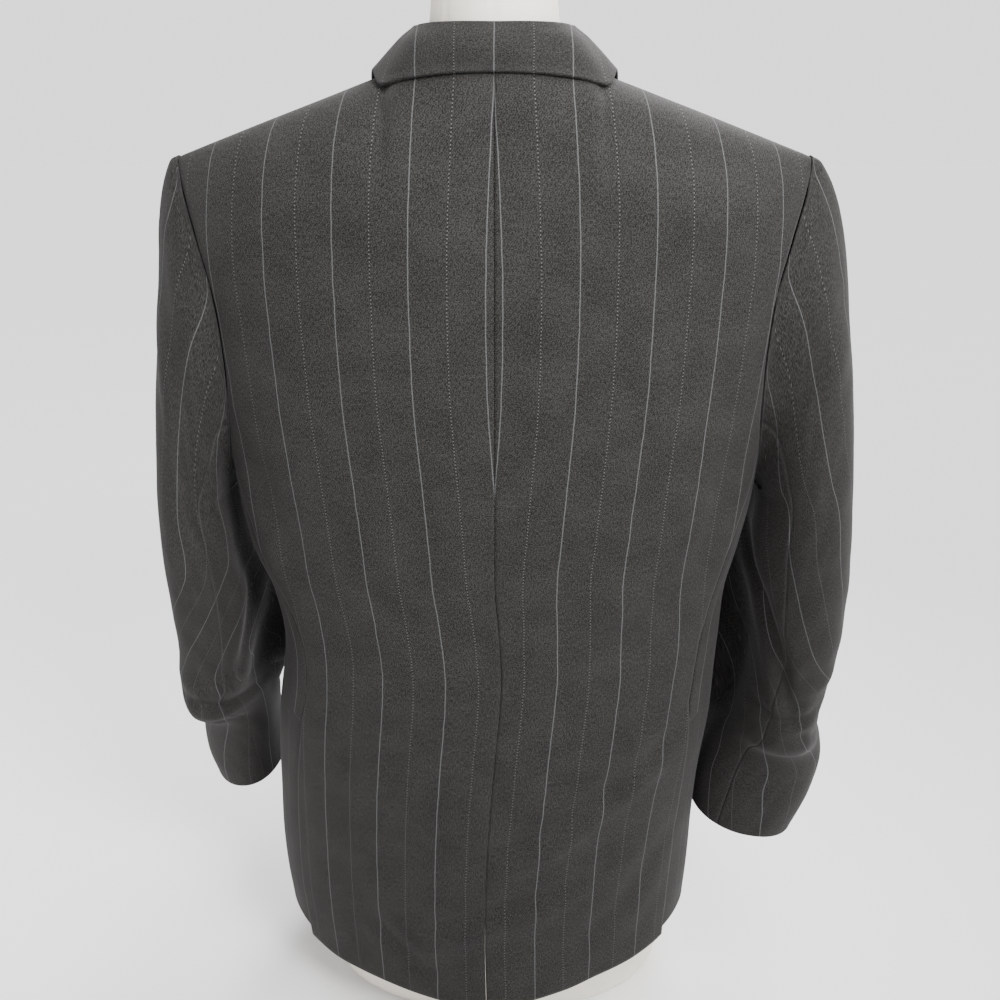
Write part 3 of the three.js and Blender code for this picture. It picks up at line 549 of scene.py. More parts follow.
# Fronts: the wearer's left laps over the right and stands off above it
front = {
    "columns": 90, "rows": 240, "cutShare": 0.62, "flat": (0.330, 0.790), "area": 0.205,
    "oneBelow": 345, "twoAbove": 405, "ease": 0.4, "fadeStart": 4, "fadeEnd": 50,
}


def overlapLift(x, z):
    one = body["wall"] + body["layer"]
    high = mix(one, 2 * one - front["ease"], smooth(front["oneBelow"], front["twoAbove"], z))
    reach = -frontEdge(z)
    return high * (1 - smooth(reach + front["fadeStart"], reach + front["fadeEnd"], x))


def frontSpot(x, z, over, lift=0.0):
    n = depthNormal(frontY, -1, x, z)
    lift += overlapLift(x, z) if over else 0
    return Vector((x, frontY(x, z), z)) + n * lift


def aroundSpot(angle, z, over, lift):
    p = ringPoint(angle, z)
    across = ringPoint(angle + 0.01, z) - ringPoint(angle - 0.01, z)
    up = ringPoint(angle, z + 1) - ringPoint(angle, z - 1)
    return p + up.cross(across).normalized() * (lift + (overlapLift(p.x, z) if over else 0))


def frontPlace(sign, over):
    def place(u, t):
        half = body["seam"] / 2
        if t <= front["cutShare"]:
            z = mix(body["hem"], body["frontCut"], t / front["cutShare"])
            rear = ringAngle(frontSeam(z) - half, z, False)
            p = aroundSpot(mix(rear, ringAngle(frontEdge(z), z, False), u), z, over, 0)
            p.z += body["hemRise"] * (1 - u) ** 2 * (1 - smooth(60, 100, z))
        else:
            rise = 1 - (1 - (t - front["cutShare"]) / (1 - front["cutShare"])) ** 1.5
            z = body["frontCut"]
            rear = ringAngle(frontSeam(z) - half, z, False)
            lowX = ringPoint(mix(rear, ringAngle(frontEdge(z), z, False), u), z).x
            lowShare = (lowX - frontSeam(z)) / (frontEdge(z) - frontSeam(z))
            share = mix(lowShare, u, rise)
            z = mix(z, topLine(mix(body["shoulderTip"], body["neckHalf"], share)), rise)
            edgeZ = mix(body["frontCut"], topLine(body["shoulderTip"]), rise)
            foreZ = mix(body["frontCut"], body["neckHeight"], rise)
            x = mix(armholeFront(edgeZ), frontEdge(foreZ), share)
            p = frontSpot(x, z, over and rise < 1)
            p.y -= half * rise
        return sided(p, sign), (sign * (frontArc(p.x, p.z) + 26), p.z)
    return place


def frontRelief(u, t, p):
    rise = unevenness(p, 9.4, 100, 1.1) * smooth(0, 0.2, 1 - u) * smooth(0, 0.1, u) - 0.1
    return rise * (1 - smooth(0.9, 1, t)) + ditch(u * 200, 4.0, 0.8)


for side, sign, over in (("left", 1, True), ("right", -1, False)):
    clothPiece(
        f"front_{side}_cloth", [f"front_{side}"], front["columns"], front["rows"], frontPlace(sign, over),
        frontRelief, bodyAxis, body["wall"], (woolCloth, lining), front["flat"], front["area"],
    )

# Sleeves: the cap stands on the armhole, then sections run down to the cuff
# height, outer and inner edge, rear and fore edge, raise, twist, roll
sleeves = {
    "left": table(
        (0, 492, 282, 225, 82, -78, 0, 0, 0), (1, 440, 284, 221, 80, -76, 0, 22, 0),
        (2, 390, 286, 223, 77, -72, 2, 42, 0), (3, 345, 286, 227, 73, -68, 6, 46, 0),
        (4, 316, 281, 229, 68, -68, 10, 44, 0), (5, 299, 275, 226, 46, -72, 13, 38, 0),
        (6, 280, 278, 221, 16, -82, 16, 26, 0), (7, 245, 286, 216, -6, -98, 18, 8, 0),
        (8, 208, 287, 214, -24, -120, 20, 3, 0), (9, 180, 285, 213, -36, -136, 20, 0, 0),
    ),
    "right": table(
        (0, 492, 302, 225, 78, -74, 0, 0, 0), (1, 440, 306, 224, 76, -70, 0, 32, 0),
        (2, 390, 303, 225, 73, -66, 0, 50, 0), (3, 340, 299, 227, 70, -60, 4, 54, 0),
        (4, 300, 297, 228, 66, -58, 8, 54, 2), (5, 274, 302, 224, 60, -58, 10, 46, 4),
        (6, 255, 313, 217, 38, -60, 12, 28, 6), (7, 228, 320, 210, 30, -62, 12, 8, 8),
        (8, 192, 316, 204, 28, -62, 10, 0, 10), (9, 156, 303, 201, 26, -60, 8, 0, 11),
    ),
}
sleeveCut = {
    "round": 0.95, "start": 0.3, "seam": 0.18, "rearSeam": 0.33, "foreSeam": 0.70,
    "rows": 190, "topColumns": 84, "underColumns": 46, "steps": 9, "ease": 0.06,
    "underStart": (0.36, 0.43), "underEnd": (0.60, 0.68), "plainTo": (0.40, 0.55),
    "topFlat": (0.270, 0.640), "topArea": 0.125, "underFlat": (0.150, 0.520), "underArea": 0.056,
}
# along, out and down for the rows of the cap
capRows = ((0, 0, 0), (0.08, 0.17, 0.02), (0.26, 0.42, 0.13), (0.5, 0.65, 0.36), (0.75, 0.86, 0.68))


def armholePoints():
    half = body["seam"] / 2
    rises = [s / sleeveCut["steps"] for s in range(sleeveCut["steps"] + 1)]
    rises = [r + sleeveCut["ease"] * math.sin(math.pi * r) for r in rises]
    tipZ = topLine(body["shoulderTip"])
    points = []
    for r in reversed(rises):
        z = mix(body["backCut"], tipZ, r)
        points.append(Vector((armholeBack(z), backY(armholeBack(z), z), z)))
    for c in range(1, 5):
        z = mix(body["backCut"], body["frontCut"], c / 5)
        z += (body["underarm"] - mix(body["backCut"], body["frontCut"], 0.5)) * 4 * (c / 5) * (1 - c / 5)
        angle = mix(ringAngle(backSeam(z) + half, z, True), ringAngle(frontSeam(z) + half, z, False), c / 5)
        points.append(ringPoint(angle, z))
    for r in rises[:-1]:
        z = mix(body["frontCut"], tipZ, r)
        points.append(Vector((armholeFront(z), frontY(armholeFront(z), z), z)))
    return points


def throughPoints(points, place):
    # Smooth curve through a run of points, at a place counted in points
    i = min(max(int(place), 0), len(points) - 2)
    t = place - i
    a, b = points[max(i - 1, 0)], points[i]
    c, d = points[i + 1], points[min(i + 2, len(points) - 1)]
    first, second, third = c - a, a * 2 - b * 5 + c * 4 - d, b * 3 - a - c * 3 + d
    return b + first * (0.5 * t) + second * (0.5 * t * t) + third * (0.5 * t ** 3)


armhole = armholePoints()
armholeClosed = [armhole[-1]] + armhole + armhole[:2]
lengths = [0.0]
for i, p in enumerate(armhole):
    lengths.append(lengths[-1] + (armhole[(i + 1) % len(armhole)] - p).length)
shares = [length / lengths[-1] for length in lengths]


def armholeAt(share):
    share = share % 1
    i = min(max(bisect_left(shares, share) - 1, 0), len(armhole) - 1)
    t = (share - shares[i]) / (shares[i + 1] - shares[i])
    run = armholeClosed[i:i + 4]
    return throughPoints(run, 1 + t)


def sectionPoint(look, row, share):
    z, outer, inner, rear, fore, lift, twist, roll = (look(row, c) for c in range(8))
    angle = share * 2 * math.pi
    forward = -math.sin(angle)
    x = (outer + inner) / 2 + (outer - inner) / 2 * signedPower(math.cos(angle), sleeveCut["round"])
    y = (rear + fore) / 2 - (rear - fore) / 2 * signedPower(forward, sleeveCut["round"])
    return Vector((x - twist * max(forward, 0) ** 2, y, z + lift * forward - roll * math.cos(angle)))


def sleeveColumn(look, share):
    start = armholeAt(share)
    start.x += sleeveCut["start"]
    full = sectionPoint(look, 0, share)
    run = []
    for along, out, down in capRows:
        x, y, z = mix(start.x, full.x, out), mix(start.y, full.y, along), mix(start.z, full.z, down)
        run.append(Vector((x, y, z)))
    return run + [sectionPoint(look, row, share) for row in range(10)]


# where a plain stripe lies on the way round each sleeve, and how fast the cloth runs
# round it: row from the armhole to the cuff, share of the way round, millimetres
sleeveStripe = {
    "left": table(
        (0, 0.160, 400), (0.5, 0.186, 395), (1, 0.200, 390), (2, 0.213, 380), (3, 0.225, 370),
        (4, 0.245, 360),
        (5, 0.262, 355), (5.9, 0.257, 350), (6.6, 0.160, 346), (7.8, 0.0, 335), (8.8, -0.014, 300),
        (11.3, -0.143, 270), (12.7, -0.193, 268), (14, -0.220, 265),
    ),
    "right": table(
        (0, 0.135, 430), (0.5, 0.163, 415), (1.4, 0.187, 400), (2.2, 0.210, 390), (3, 0.225, 380),
        (4, 0.228, 370),
        (5, 0.205, 355), (5.7, 0.187, 350), (7.4, 0.093, 340), (8.2, -0.045, 332), (9.2, -0.107, 335),
        (11.7, -0.213, 335), (12.6, -0.222, 335), (14, -0.262, 335),
    ),
}


def sleevePlace(side, sign, first, last):
    columns = {}

    def place(u, t):
        if u not in columns:
            run = sleeveColumn(sleeves[side], mix(first, last, u))
            reach = [0.0]
            for a, b in zip(run, run[1:]):
                reach.append(reach[-1] + (b - a).length)
            columns[u] = (run, reach)
        run, reach = columns[u]
        row = (t ** 1.25) * 14
        p = throughPoints(run, row)
        i = min(int(row), 13)
        along = mix(reach[i], reach[i + 1], row - i)
        stripe = sleeveStripe[side]
        across = (mix(first, last, u) - stripe(row, 0)) * stripe(row, 1)
        return sided(p, sign), (across, -along)
    return place


# Folds: share of the way round times 300, then height
sleeveCreases = {
    "left": [
        crease(-3.0, 9, (20, 700), (37, 657), (61, 606), (88, 547), (112, 490), (134, 430)),
        crease(1.8, 10, (48, 655), (74, 600), (101, 540), (128, 475), (150, 425)),
        crease(-1.4, 9, (10, 640), (30, 600), (52, 560)),
        crease(-3.4, 6, (50, 325), (79, 321), (105, 312), (129, 300), (150, 291)),
        crease(2.2, 8, (40, 345), (75, 338), (110, 330), (140, 318)),
        crease(-1.8, 7, (70, 300), (92, 285), (110, 262)),
        crease(-1.5, 9, (60, 480), (84, 465), (104, 440)),
        crease(-5.0, 9, (126, 556), (136, 500), (140, 450), (152, 405), (138, 365), (130, 335)),
        crease(0.8, 9, (112, 540), (118, 500), (122, 450), (132, 405), (118, 362)),
        crease(10.0, 17, (192, 365), (189, 325), (186, 295), (174, 262), shoulder=0),
        crease(5.0, 12, (196, 515), (194, 475), (192, 430), (192, 390), shoulder=0),
    ],
    "right": [
        crease(-1.8, 6, (25, 690), (42, 679), (51, 670), (60, 662)),
        crease(-2.8, 9, (30, 660), (46, 638), (60, 618), (73, 602), (84, 590)),
        crease(1.6, 9, (40, 632), (58, 606), (78, 580)),
        crease(-1.6, 9, (45, 560), (60, 530), (82, 505)),
        crease(-3.2, 6, (48, 312), (77, 300), (100, 300), (125, 305)),
        crease(-2.0, 7, (20, 270), (50, 280), (80, 284)),
        crease(2.0, 8, (30, 345), (60, 335), (95, 332)),
        crease(-5.5, 8, (140, 520), (160, 463), (150, 430), (132, 405), (114, 369), (94, 326), (62, 278)),
        crease(1.0, 9, (122, 510), (142, 460), (130, 435), (108, 415), (92, 379), (72, 340)),
        crease(9.0, 17, (190, 365), (187, 320), (188, 280), (180, 240), shoulder=0),
        crease(5.0, 12, (196, 515), (194, 475), (192, 430), (192, 390), shoulder=0),
    ],
}


def sleeveRelief(side, first, last):
    def relief(u, t, p):
        share = mix(first, last, u)
        rise = creaseHeight(sleeveCreases[side], share * 300, p.z)
        rise += unevenness(p, 4.4, 70, 1.5) * smooth(0, 0.12, t) + unevenness(p, 1.3, 30, 0.5)
        rise += ditch(min(u, 1 - u) * (last - first) * 300, 2.2, 0.12)
        rise += 0.8 * math.exp(-((t - 0.022) / 0.018) ** 2)
        # the short cloth under the arm stays plain
        underArm = smooth(*sleeveCut["underStart"], share) * (1 - smooth(*sleeveCut["underEnd"], share))
        return rise * smooth(0, 0.01, t) * mix(1, smooth(*sleeveCut["plainTo"], t), underArm)
    return relief


def sleeveAxis(side, sign):
    look = sleeves[side]

    def inside(p):
        row = (492 - p[2]) / 31.2
        x = (look(row, 1) + look(row, 2)) / 2
        y = (look(row, 3) + look(row, 4)) / 2
        return Vector((sign * x, y, p[2]))
    return inside


rearSeam = next(s for s in shares if s >= sleeveCut["rearSeam"])
foreSeam = next(s for s in shares if s >= sleeveCut["foreSeam"])
hair = 0.0001  # share of the way round left open at each seam
for side, sign in (("left", 1), ("right", -1)):
    parts = (("top", foreSeam - 1 + hair, rearSeam - hair), ("under", rearSeam + hair, foreSeam - hair))
    for part, first, last in parts:
        clothPiece(
            f"{part}_sleeve_{side}_cloth", [f"{part}_sleeve_{side}"], sleeveCut[part + "Columns"],
            sleeveCut["rows"], sleevePlace(side, sign, first, last), sleeveRelief(side, first, last),
            sleeveAxis(side, sign), body["wall"], (woolCloth, lining),
            sleeveCut[part + "Flat"], sleeveCut[part + "Area"],
        )

# Lapels: height on the break line, then where that row meets the outer edge
lapelCut = {
    "columns": 40, "rows": 90, "flat": (0.120, 0.370), "area": 0.0330,
    "roll": 3.5, "spread": 1.6, "overShown": (420, 500), "underShown": (600, 680),
    "notchShare": 0.4, "notchDrop": 12, "underWall": 1.8,
}
lapelRows = table(
    (420, -74, 426), (440, -45, 438), (475, -8, 460), (520, 34, 500), (575, 76, 556),
    (630, 108, 618), (685, 132, 680), (730, 146, 728), (766, 154, 762),
)


def lapelPlace(sign, over):
    shown = lapelCut["overShown"] if over else lapelCut["underShown"]

    def place(u, t):
        breakZ = mix(420, 766, t)
        edgeX, edgeZ = lapelRows(breakZ, 0), lapelRows(breakZ, 1)
        x = mix(frontEdge(breakZ) + 1, edgeX, u)
        dip = max(1 - abs(u - lapelCut["notchShare"]) / lapelCut["notchShare"], 0)
        dip *= lapelCut["notchDrop"] * smooth(0.93, 1, t)
        roll = lapelCut["roll"] * math.sin(math.pi * min(u * lapelCut["spread"], 1)) * smooth(*shown, breakZ)
        z = mix(breakZ, edgeZ, u) - dip
        p = frontSpot(x, z, over, body["wall"] + body["layer"] + roll)
        return sided(p, sign), ((1 - u) * math.hypot(edgeX - frontEdge(breakZ), edgeZ - breakZ) + 14, z)
    return place


def trimRelief(edge):
    # a rounded edge: the cloth dips softly towards its border, over a slight unevenness
    def relief(u, t, p):
        near = min(u, 1 - u, t, 1 - t) * edge
        return unevenness(p, 2.2, 40, 0.3) - 0.5 * math.exp(-near / 1.5)
    return relief


for side, sign, over in (("left", 1, True), ("right", -1, False)):
    clothPiece(
        f"lapel_{side}_cloth", [f"lapel_{side}"], lapelCut["columns"], lapelCut["rows"],
        lapelPlace(sign, over), trimRelief(90), bodyAxis, body["wall"] if over else lapelCut["underWall"],
        (woolCloth, woolCloth), lapelCut["flat"], lapelCut["area"],
    )

# Hip pocket flaps and the breast welt lie on the fronts
flapCut = {
    "fore": 97, "rear": 198, "top": 240, "drop": 54, "slant": 3, "columns": 60, "rows": 28,
    "flat": (0.148, 0.058), "area": 0.0084, "gap": 0.7,
}
weltCut = {
    "fore": 122, "rear": 196, "low": 592, "high": 614, "slant": 7, "columns": 44, "rows": 16,
    "flat": (0.084, 0.026), "area": 0.0021,
}


def flapPlace(sign, over):
    def place(u, t):
        z = flapCut["top"] - flapCut["drop"] * (1 - t) + flapCut["slant"] * u
        corner = 9 * smooth(0.9, 1, abs(2 * u - 1)) * (1 - smooth(0, 0.3, t))
        angle = mix(ringAngle(flapCut["fore"], z, False), ringAngle(flapCut["rear"], z, False), u)
        p = aroundSpot(angle, z + corner * (1 - t), over, body["wall"] + flapCut["gap"])
        return sided(p, sign), (sign * (frontArc(p.x, p.z) + 26), p.z)
    return place


def weltPlace(u, t):
    x = mix(weltCut["fore"], weltCut["rear"], u)
    z = mix(weltCut["low"], weltCut["high"], t) + weltCut["slant"] * u
    p = frontSpot(x, z, True, body["wall"] + flapCut["gap"])
    return sided(p, 1), (frontArc(p.x, p.z) + 26, p.z)


for side, sign, over in (("left", 1, True), ("right", -1, False)):
    clothPiece(
        f"flap_{side}_cloth", [f"flap_{side}"], flapCut["columns"], flapCut["rows"], flapPlace(sign, over),
        trimRelief(54), bodyAxis, body["wall"], (woolCloth, lining), flapCut["flat"], flapCut["area"],
    )
clothPiece(
    "chest_welt_cloth", ["chest_welt"], weltCut["columns"], weltCut["rows"], weltPlace,
    trimRelief(24), bodyAxis, body["wall"], (woolCloth, lining), weltCut["flat"], weltCut["area"],
)

# Collar round the neck: the stand, and the fall that turns down over it
collar = {
    "standColumns": 150, "standRows": 14, "fallColumns": 190, "fallRows": 34, "neckMiddle": 26,
    "insetBack": 0.2, "insetFront": 3.0, "standShort": 4.6, "standLean": 1, "bellyPlace": 1.15,
    "foldShare": 0.3, "fallWall": 2.0, "fallLength": 400, "fallDrop": 46, "straightTo": (60, 95),
    "standFlat": (0.330, 0.030), "standArea": 0.0086, "fallFlat": (0.410, 0.055), "fallArea": 0.0180,
}
# side, x or z of the neck seam, rise, inset, belly, x and z of the fall's edge
collarRows = (
    ("back", 0, 27, 7, 4, 0, 820), ("back", 26, 27.5, 7, 4, 30, 819), ("back", 50, 28, 8, 3.5, 58, 816),
    ("back", 67, 28, 11, 2, 80, 812.5), ("ridge", 74, 27, 14, 1, 91, 810),
    ("front", 806, 21, 12, 3, 97, 790), ("front", 788, 14, 9, 6, 101, 772), ("front", 773, 9, 6, 7, 100, 755),
)


def collarLine(side, place, rise, inset, belly, fallX, fallZ):
    before = side == "front"
    x, z = (frontEdge(place), place) if before else (place, body["neckHeight"])
    depth, facing = (frontY, -1) if before else (backY, 1)
    y = depth(x, z)
    toward = Vector((-x, collar["neckMiddle"] - y, 0)).normalized()
    foot = Vector((x, y, z + body["seam"]))
    foot += toward * (collar["insetFront"] if before else collar["insetBack"])
    fold = foot + toward * inset
    fold.z += rise
    lift = body["wall"] + body["layer"]
    if side == "ridge":
        edge = Vector((fallX, body["ridge"], topLine(fallX) + 2 * lift))
    else:
        edge = Vector((fallX, depth(fallX, fallZ), fallZ)) + depthNormal(depth, facing, fallX, fallZ) * lift
    return foot, fold, edge, toward, Vector((belly, 0, 0))


halfCollar = [collarLine(*row) for row in collarRows]


def flippedLine(line):
    return tuple(Vector((-v.x, v.y, v.z)) for v in line[:4]) + line[4:]


flipped = [flippedLine(line) for line in halfCollar[:0:-1]]
collarRound = flipped + halfCollar
collarSide = [[line[k] for line in collarRound] for k in range(5)]


def collarAt(u):
    return [throughPoints(run, u * (len(collarRound) - 1)) for run in collarSide]


def standPlace(u, t):
    foot, fold, edge, toward, belly = collarAt(u)
    top = fold + toward * collar["standLean"]
    top.z -= collar["standShort"]
    return foot.lerp(top, t), ((u - 0.5) * 330, t * 26)


def fallPlace(u, t):
    foot, fold, edge, toward, belly = collarAt(u)
    p = fold + toward * (body["wall"] * (1 - smooth(0, collar["foldShare"], t)))
    p = p.lerp(edge, t) - toward * (belly.x * math.sin(math.pi * min(t * collar["bellyPlace"], 1)))
    across = mix(p.x, (u - 0.5) * collar["fallLength"], smooth(*collar["straightTo"], abs(p.x)))
    return p, (across, -t * collar["fallDrop"])


def neckAxis(p):
    return Vector((0, collar["neckMiddle"], p[2] - 4))


def collarRelief(u, t, p):
    return unevenness(p, 6.1, 45, 0.4) * smooth(0, 0.15, t) - 0.4 * math.exp(-(1 - t) * 40 / 1.5)


clothPiece(
    "collar_stand_cloth", ["collar_stand"], collar["standColumns"], collar["standRows"], standPlace,
    lambda u, t, p: 0, neckAxis, body["wall"], (woolCloth, woolCloth), collar["standFlat"],
    collar["standArea"],
)
clothPiece(
    "collar_fall_cloth", ["collar_fall"], collar["fallColumns"], collar["fallRows"], fallPlace,
    collarRelief, neckAxis, collar["fallWall"], (woolCloth, woolCloth), collar["fallFlat"],
    collar["fallArea"],
)

# Buttons in three pairs: a dished face with a rim, four holes and crossed thread
button = {
    "radius": 10, "height": 4, "standoff": 0.7, "holeRadius": 1.05, "holePlace": 2.3, "thread": 0.42,
    "rows": (("low", 315, 60), ("middle", 407, 60), ("high", 512, 98)),
    "profile": (
        (0, 0), (7.0, 0), (8.9, 0.7), (9.8, 1.6), (10, 2.5), (9.7, 3.5), (9.1, 3.95), (8.3, 3.9),
        (7.5, 3.4), (6.6, 2.85), (4.5, 2.6), (0, 2.5),
    ),
}


def makeHorn(name):
    m = Maker(name)
    place = m.tree.nodes.new("ShaderNodeTexCoord").outputs["Object"]
    stretch = m.node("ShaderNodeMapping", Vector=place, Scale=(260, 90, 140))
    swirl = m.noise(stretch.outputs[0], 1.0, 4.0, 0.6)
    fine = m.noise(place, 900.0, 2.0, 0.5)
    colour = m.blend(m.ramp(swirl, 0.42, 0.72), (0.012, 0.010, 0.009, 1), (0.060, 0.044, 0.034, 1))
    m.put(colour, m.shader.inputs["Base Color"])
    m.put(m.maths("ADD", m.maths("MULTIPLY", fine, 0.18), 0.24), m.shader.inputs["Roughness"])
    m.bump(fine, 0.00005, 0.3)
    m.gloss(Coat_Weight=0.25, Coat_Roughness=0.2)
    return m.material


def makeThread(name, colour):
    m = Maker(name)
    place = m.tree.nodes.new("ShaderNodeTexCoord").outputs["Object"]
    twist = m.noise(place, 2400.0, 2.0, 0.5)
    shade = tuple(c * 0.55 for c in colour[:3]) + (1,)
    m.put(m.blend(twist, shade, colour), m.shader.inputs["Base Color"])
    m.bump(twist, 0.0001, 0.6)
    m.gloss(Roughness=0.7, Sheen_Weight=0.2)
    return m.material


horn = makeHorn("dark horn")
darkThread = makeThread("dark thread", (0.030, 0.028, 0.028, 1))


def plainPiece(name, bm, material, nodes, turn=None):
    # Finished piece from millimetre mesh work, turned to its place in the mesh
    if turn is not None:
        bmesh.ops.transform(bm, matrix=turn, verts=bm.verts)
    for v in bm.verts:
        v.co = toFrame(v.co)
    for f in bm.faces:
        f.smooth = True
    mesh = bpy.data.meshes.new(name)
    bm.to_mesh(mesh)
    bm.free()
    mesh.materials.append(material)
    piece = bpy.data.objects.new(name, mesh)
    bpy.context.collection.objects.link(piece)
    if nodes:
        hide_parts(*nodes)
    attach(piece, "root")
    return piece


def cutHoles(bm):
    # the four holes are cut through by a boolean, whose result is kept
    drill = bmesh.new()
    for x, y in ((1, 1), (1, -1), (-1, 1), (-1, -1)):
        place = Matrix.Translation((x * button["holePlace"], y * button["holePlace"], 2))
        bmesh.ops.create_cone(
            drill, cap_ends=True, segments=16, radius1=button["holeRadius"], radius2=button["holeRadius"],
            depth=8, matrix=place,
        )
    parts = []
    for label, work in (("button blank", bm), ("drill", drill)):
        mesh = bpy.data.meshes.new(label)
        work.to_mesh(mesh)
        work.free()
        part = bpy.data.objects.new(label, mesh)
        bpy.context.collection.objects.link(part)
        parts.append(part)
    cut = parts[0].modifiers.new("holes", "BOOLEAN")
    cut.operation = "DIFFERENCE"
    cut.solver = "EXACT"
    cut.object = parts[1]
    view = bpy.context.evaluated_depsgraph_get()
    result = bmesh.new()
    result.from_mesh(parts[0].evaluated_get(view).to_mesh())
    for part in parts:
        mesh = part.data
        bpy.data.objects.remove(part)
        bpy.data.meshes.remove(mesh)
    return result


def buttonBlank():
    bm = bmesh.new()
    ring = [bm.verts.new((r, 0, z)) for r, z in button["profile"]]
    edges = [bm.edges.new(pair) for pair in zip(ring, ring[1:])]
    bmesh.ops.spin(
        bm, geom=ring + edges, cent=(0, 0, 0), axis=(0, 0, 1), angle=2 * math.pi, steps=48, use_merge=True,
    )
    bmesh.ops.remove_doubles(bm, verts=bm.verts, dist=0.001)
    bmesh.ops.recalc_face_normals(bm, faces=bm.faces)
    return cutHoles(bm)


def addThread(bm, spots, closed):
    # a round thread through the spots, left open at its ends or closed to a ring
    last = len(spots) - 1
    rings = []
    for k, p in enumerate(spots):
        before, after = (k - 1, (k + 1) % len(spots)) if closed else (max(k - 1, 0), min(k + 1, last))
        ahead = (spots[after] - spots[before]).normalized()
        place = Matrix.Translation(p) @ ahead.to_track_quat("Z", "Y").to_matrix().to_4x4()
        made = bmesh.ops.create_circle(bm, segments=8, radius=button["thread"], matrix=place)
        rings.append(list({e for v in made["verts"] for e in v.link_edges}))
    if closed:
        rings.append(rings[0])
    for before, after in zip(rings, rings[1:]):
        bmesh.ops.bridge_loops(bm, edges=before + after)


def threadCross():
    bm = bmesh.new()
    reach = button["holePlace"]
    for start, end in (((1, 1), (-1, -1)), ((1, -1), (-1, 1))):
        for offset in (-0.38, 0.38):
            a = Vector((start[0] * reach, start[1] * reach, 2.5))
            b = Vector((end[0] * reach, end[1] * reach, 2.5))
            along = (b - a).normalized()
            sidestep = Vector((-along.y, along.x, 0)) * offset
            count = 10
            spots = []
            for k in range(count + 1):
                t = k / count
                p = a.lerp(b, t) + sidestep
                p.z += 0.75 * math.sin(math.pi * t) ** 0.5 - 0.5 * (t in (0, 1)) + 0.12 * (start[1] < 0)
                spots.append(p)
            addThread(bm, spots, False)
    bmesh.ops.holes_fill(bm, edges=bm.edges, sides=8)
    bmesh.ops.recalc_face_normals(bm, faces=bm.faces)
    return bm


for level, z, x in button["rows"]:
    for side, sign in (("left", 1), ("right", -1)):
        onLeftFront = sign > 0 or z < body["fastening"]
        signedX = sign * x if onLeftFront else x
        n = depthNormal(frontY, -1, signedX, z)
        p = frontSpot(signedX, z, onLeftFront) + n * button["standoff"]
        if not onLeftFront:
            p.x *= -1
            n.x *= -1
        p.x += sections(z, leanColumn)
        turn = Matrix.Translation(p) @ n.to_track_quat("Z", "Y").to_matrix().to_4x4()
        label = f"button_{level}_{side}"
        plainPiece(f"{label}_horn", buttonBlank(), horn, [label], turn)
        plainPiece(f"{label}_thread", threadCross(), darkThread, [], turn)
print("made buttons")

# Sewn buttonholes: two at the fastened edge, and one on each lapel
hole = {"half": 12, "end": 1.1, "steps": 40, "rise": 0.25, "fromButton": 11, "lapel": (0.80, 0.93)}


def stitchedHole(name, p, along, n):
    spots = []
    for k in range(hole["steps"]):
        angle = (k + 0.5) / hole["steps"] * 2 * math.pi
        straight = math.copysign(hole["half"] - hole["end"], math.cos(angle))
        rounded = Vector((math.cos(angle), math.sin(angle), 0)) * hole["end"]
        spots.append(Vector((straight, 0, hole["rise"])) + rounded)
    bm = bmesh.new()
    addThread(bm, spots, True)
    bmesh.ops.recalc_face_normals(bm, faces=bm.faces)
    turn = Matrix((along, n.cross(along), n)).transposed().to_4x4()
    turn.translation = p
    plainPiece(name, bm, darkThread, [], turn)


for level, z, x in button["rows"]:
    if z < body["fastening"]:
        spot = -x - hole["fromButton"]
        ends = [sided(frontSpot(spot + step, z, True), 1) for step in (-1, 1)]
        n = depthNormal(frontY, -1, spot, z)
        along = (ends[1] - ends[0]).normalized()
        n = (n - along * n.dot(along)).normalized()
        stitchedHole(f"buttonhole_{level}", (ends[0] + ends[1]) / 2, along, n)
for side, sign, over in (("left", 1, True), ("right", -1, False)):
    place = lapelPlace(sign, over)
    u, t = hole["lapel"]
    p = place(u, t)[0]
    along = (place(u + 0.04, t)[0] - place(u - 0.04, t)[0]).normalized()
    up = place(u, t + 0.01)[0] - place(u, t - 0.01)[0]
    n = along.cross(up).normalized()
    n = n if n.y < 0 else -n
    stitchedHole(f"lapel_hole_{side}", p, along, n)
print("made buttonholes")

# Dress form: a smooth covered body and neck, with sewn seams and a lid
form = {
    "columns": 112, "rows": 190, "shoulderClear": 2.8, "clear": 6, "neckClear": 15, "round": 0.92,
    "shoulderLow": 690, "shoulderHigh": 760, "power": 4,
    "heights": (0, 8, 60, 150, 250, 361, 450, 540, 630, 690, 725, 750, 770, 785, 798, 809),
    # height, half width, behind, in front
    "neck": ((820, 56, 66, -30), (836, 53, 71, -34), (853, 48, 70, -30), (880, 45, 64, -24)),
    "cap": {"low": 880.3, "high": 892, "half": 46, "back": 65, "front": -25},
    "seams": (0.0, 0.125, 0.27, 0.40, 0.5, 0.60, 0.73, 0.875),
}
formRings = table(
    (0, 150, 88, 92), (8, 160, 96, 100), (60, 171, 104, 106), (150, 176, 107, 110),
    (250, 170, 100, 108), (361, 162, 92, 104), (450, 174, 98, 114), (540, 186, 106, 122),
    (630, 190, 110, 120), (700, 188, 110, 106),
)


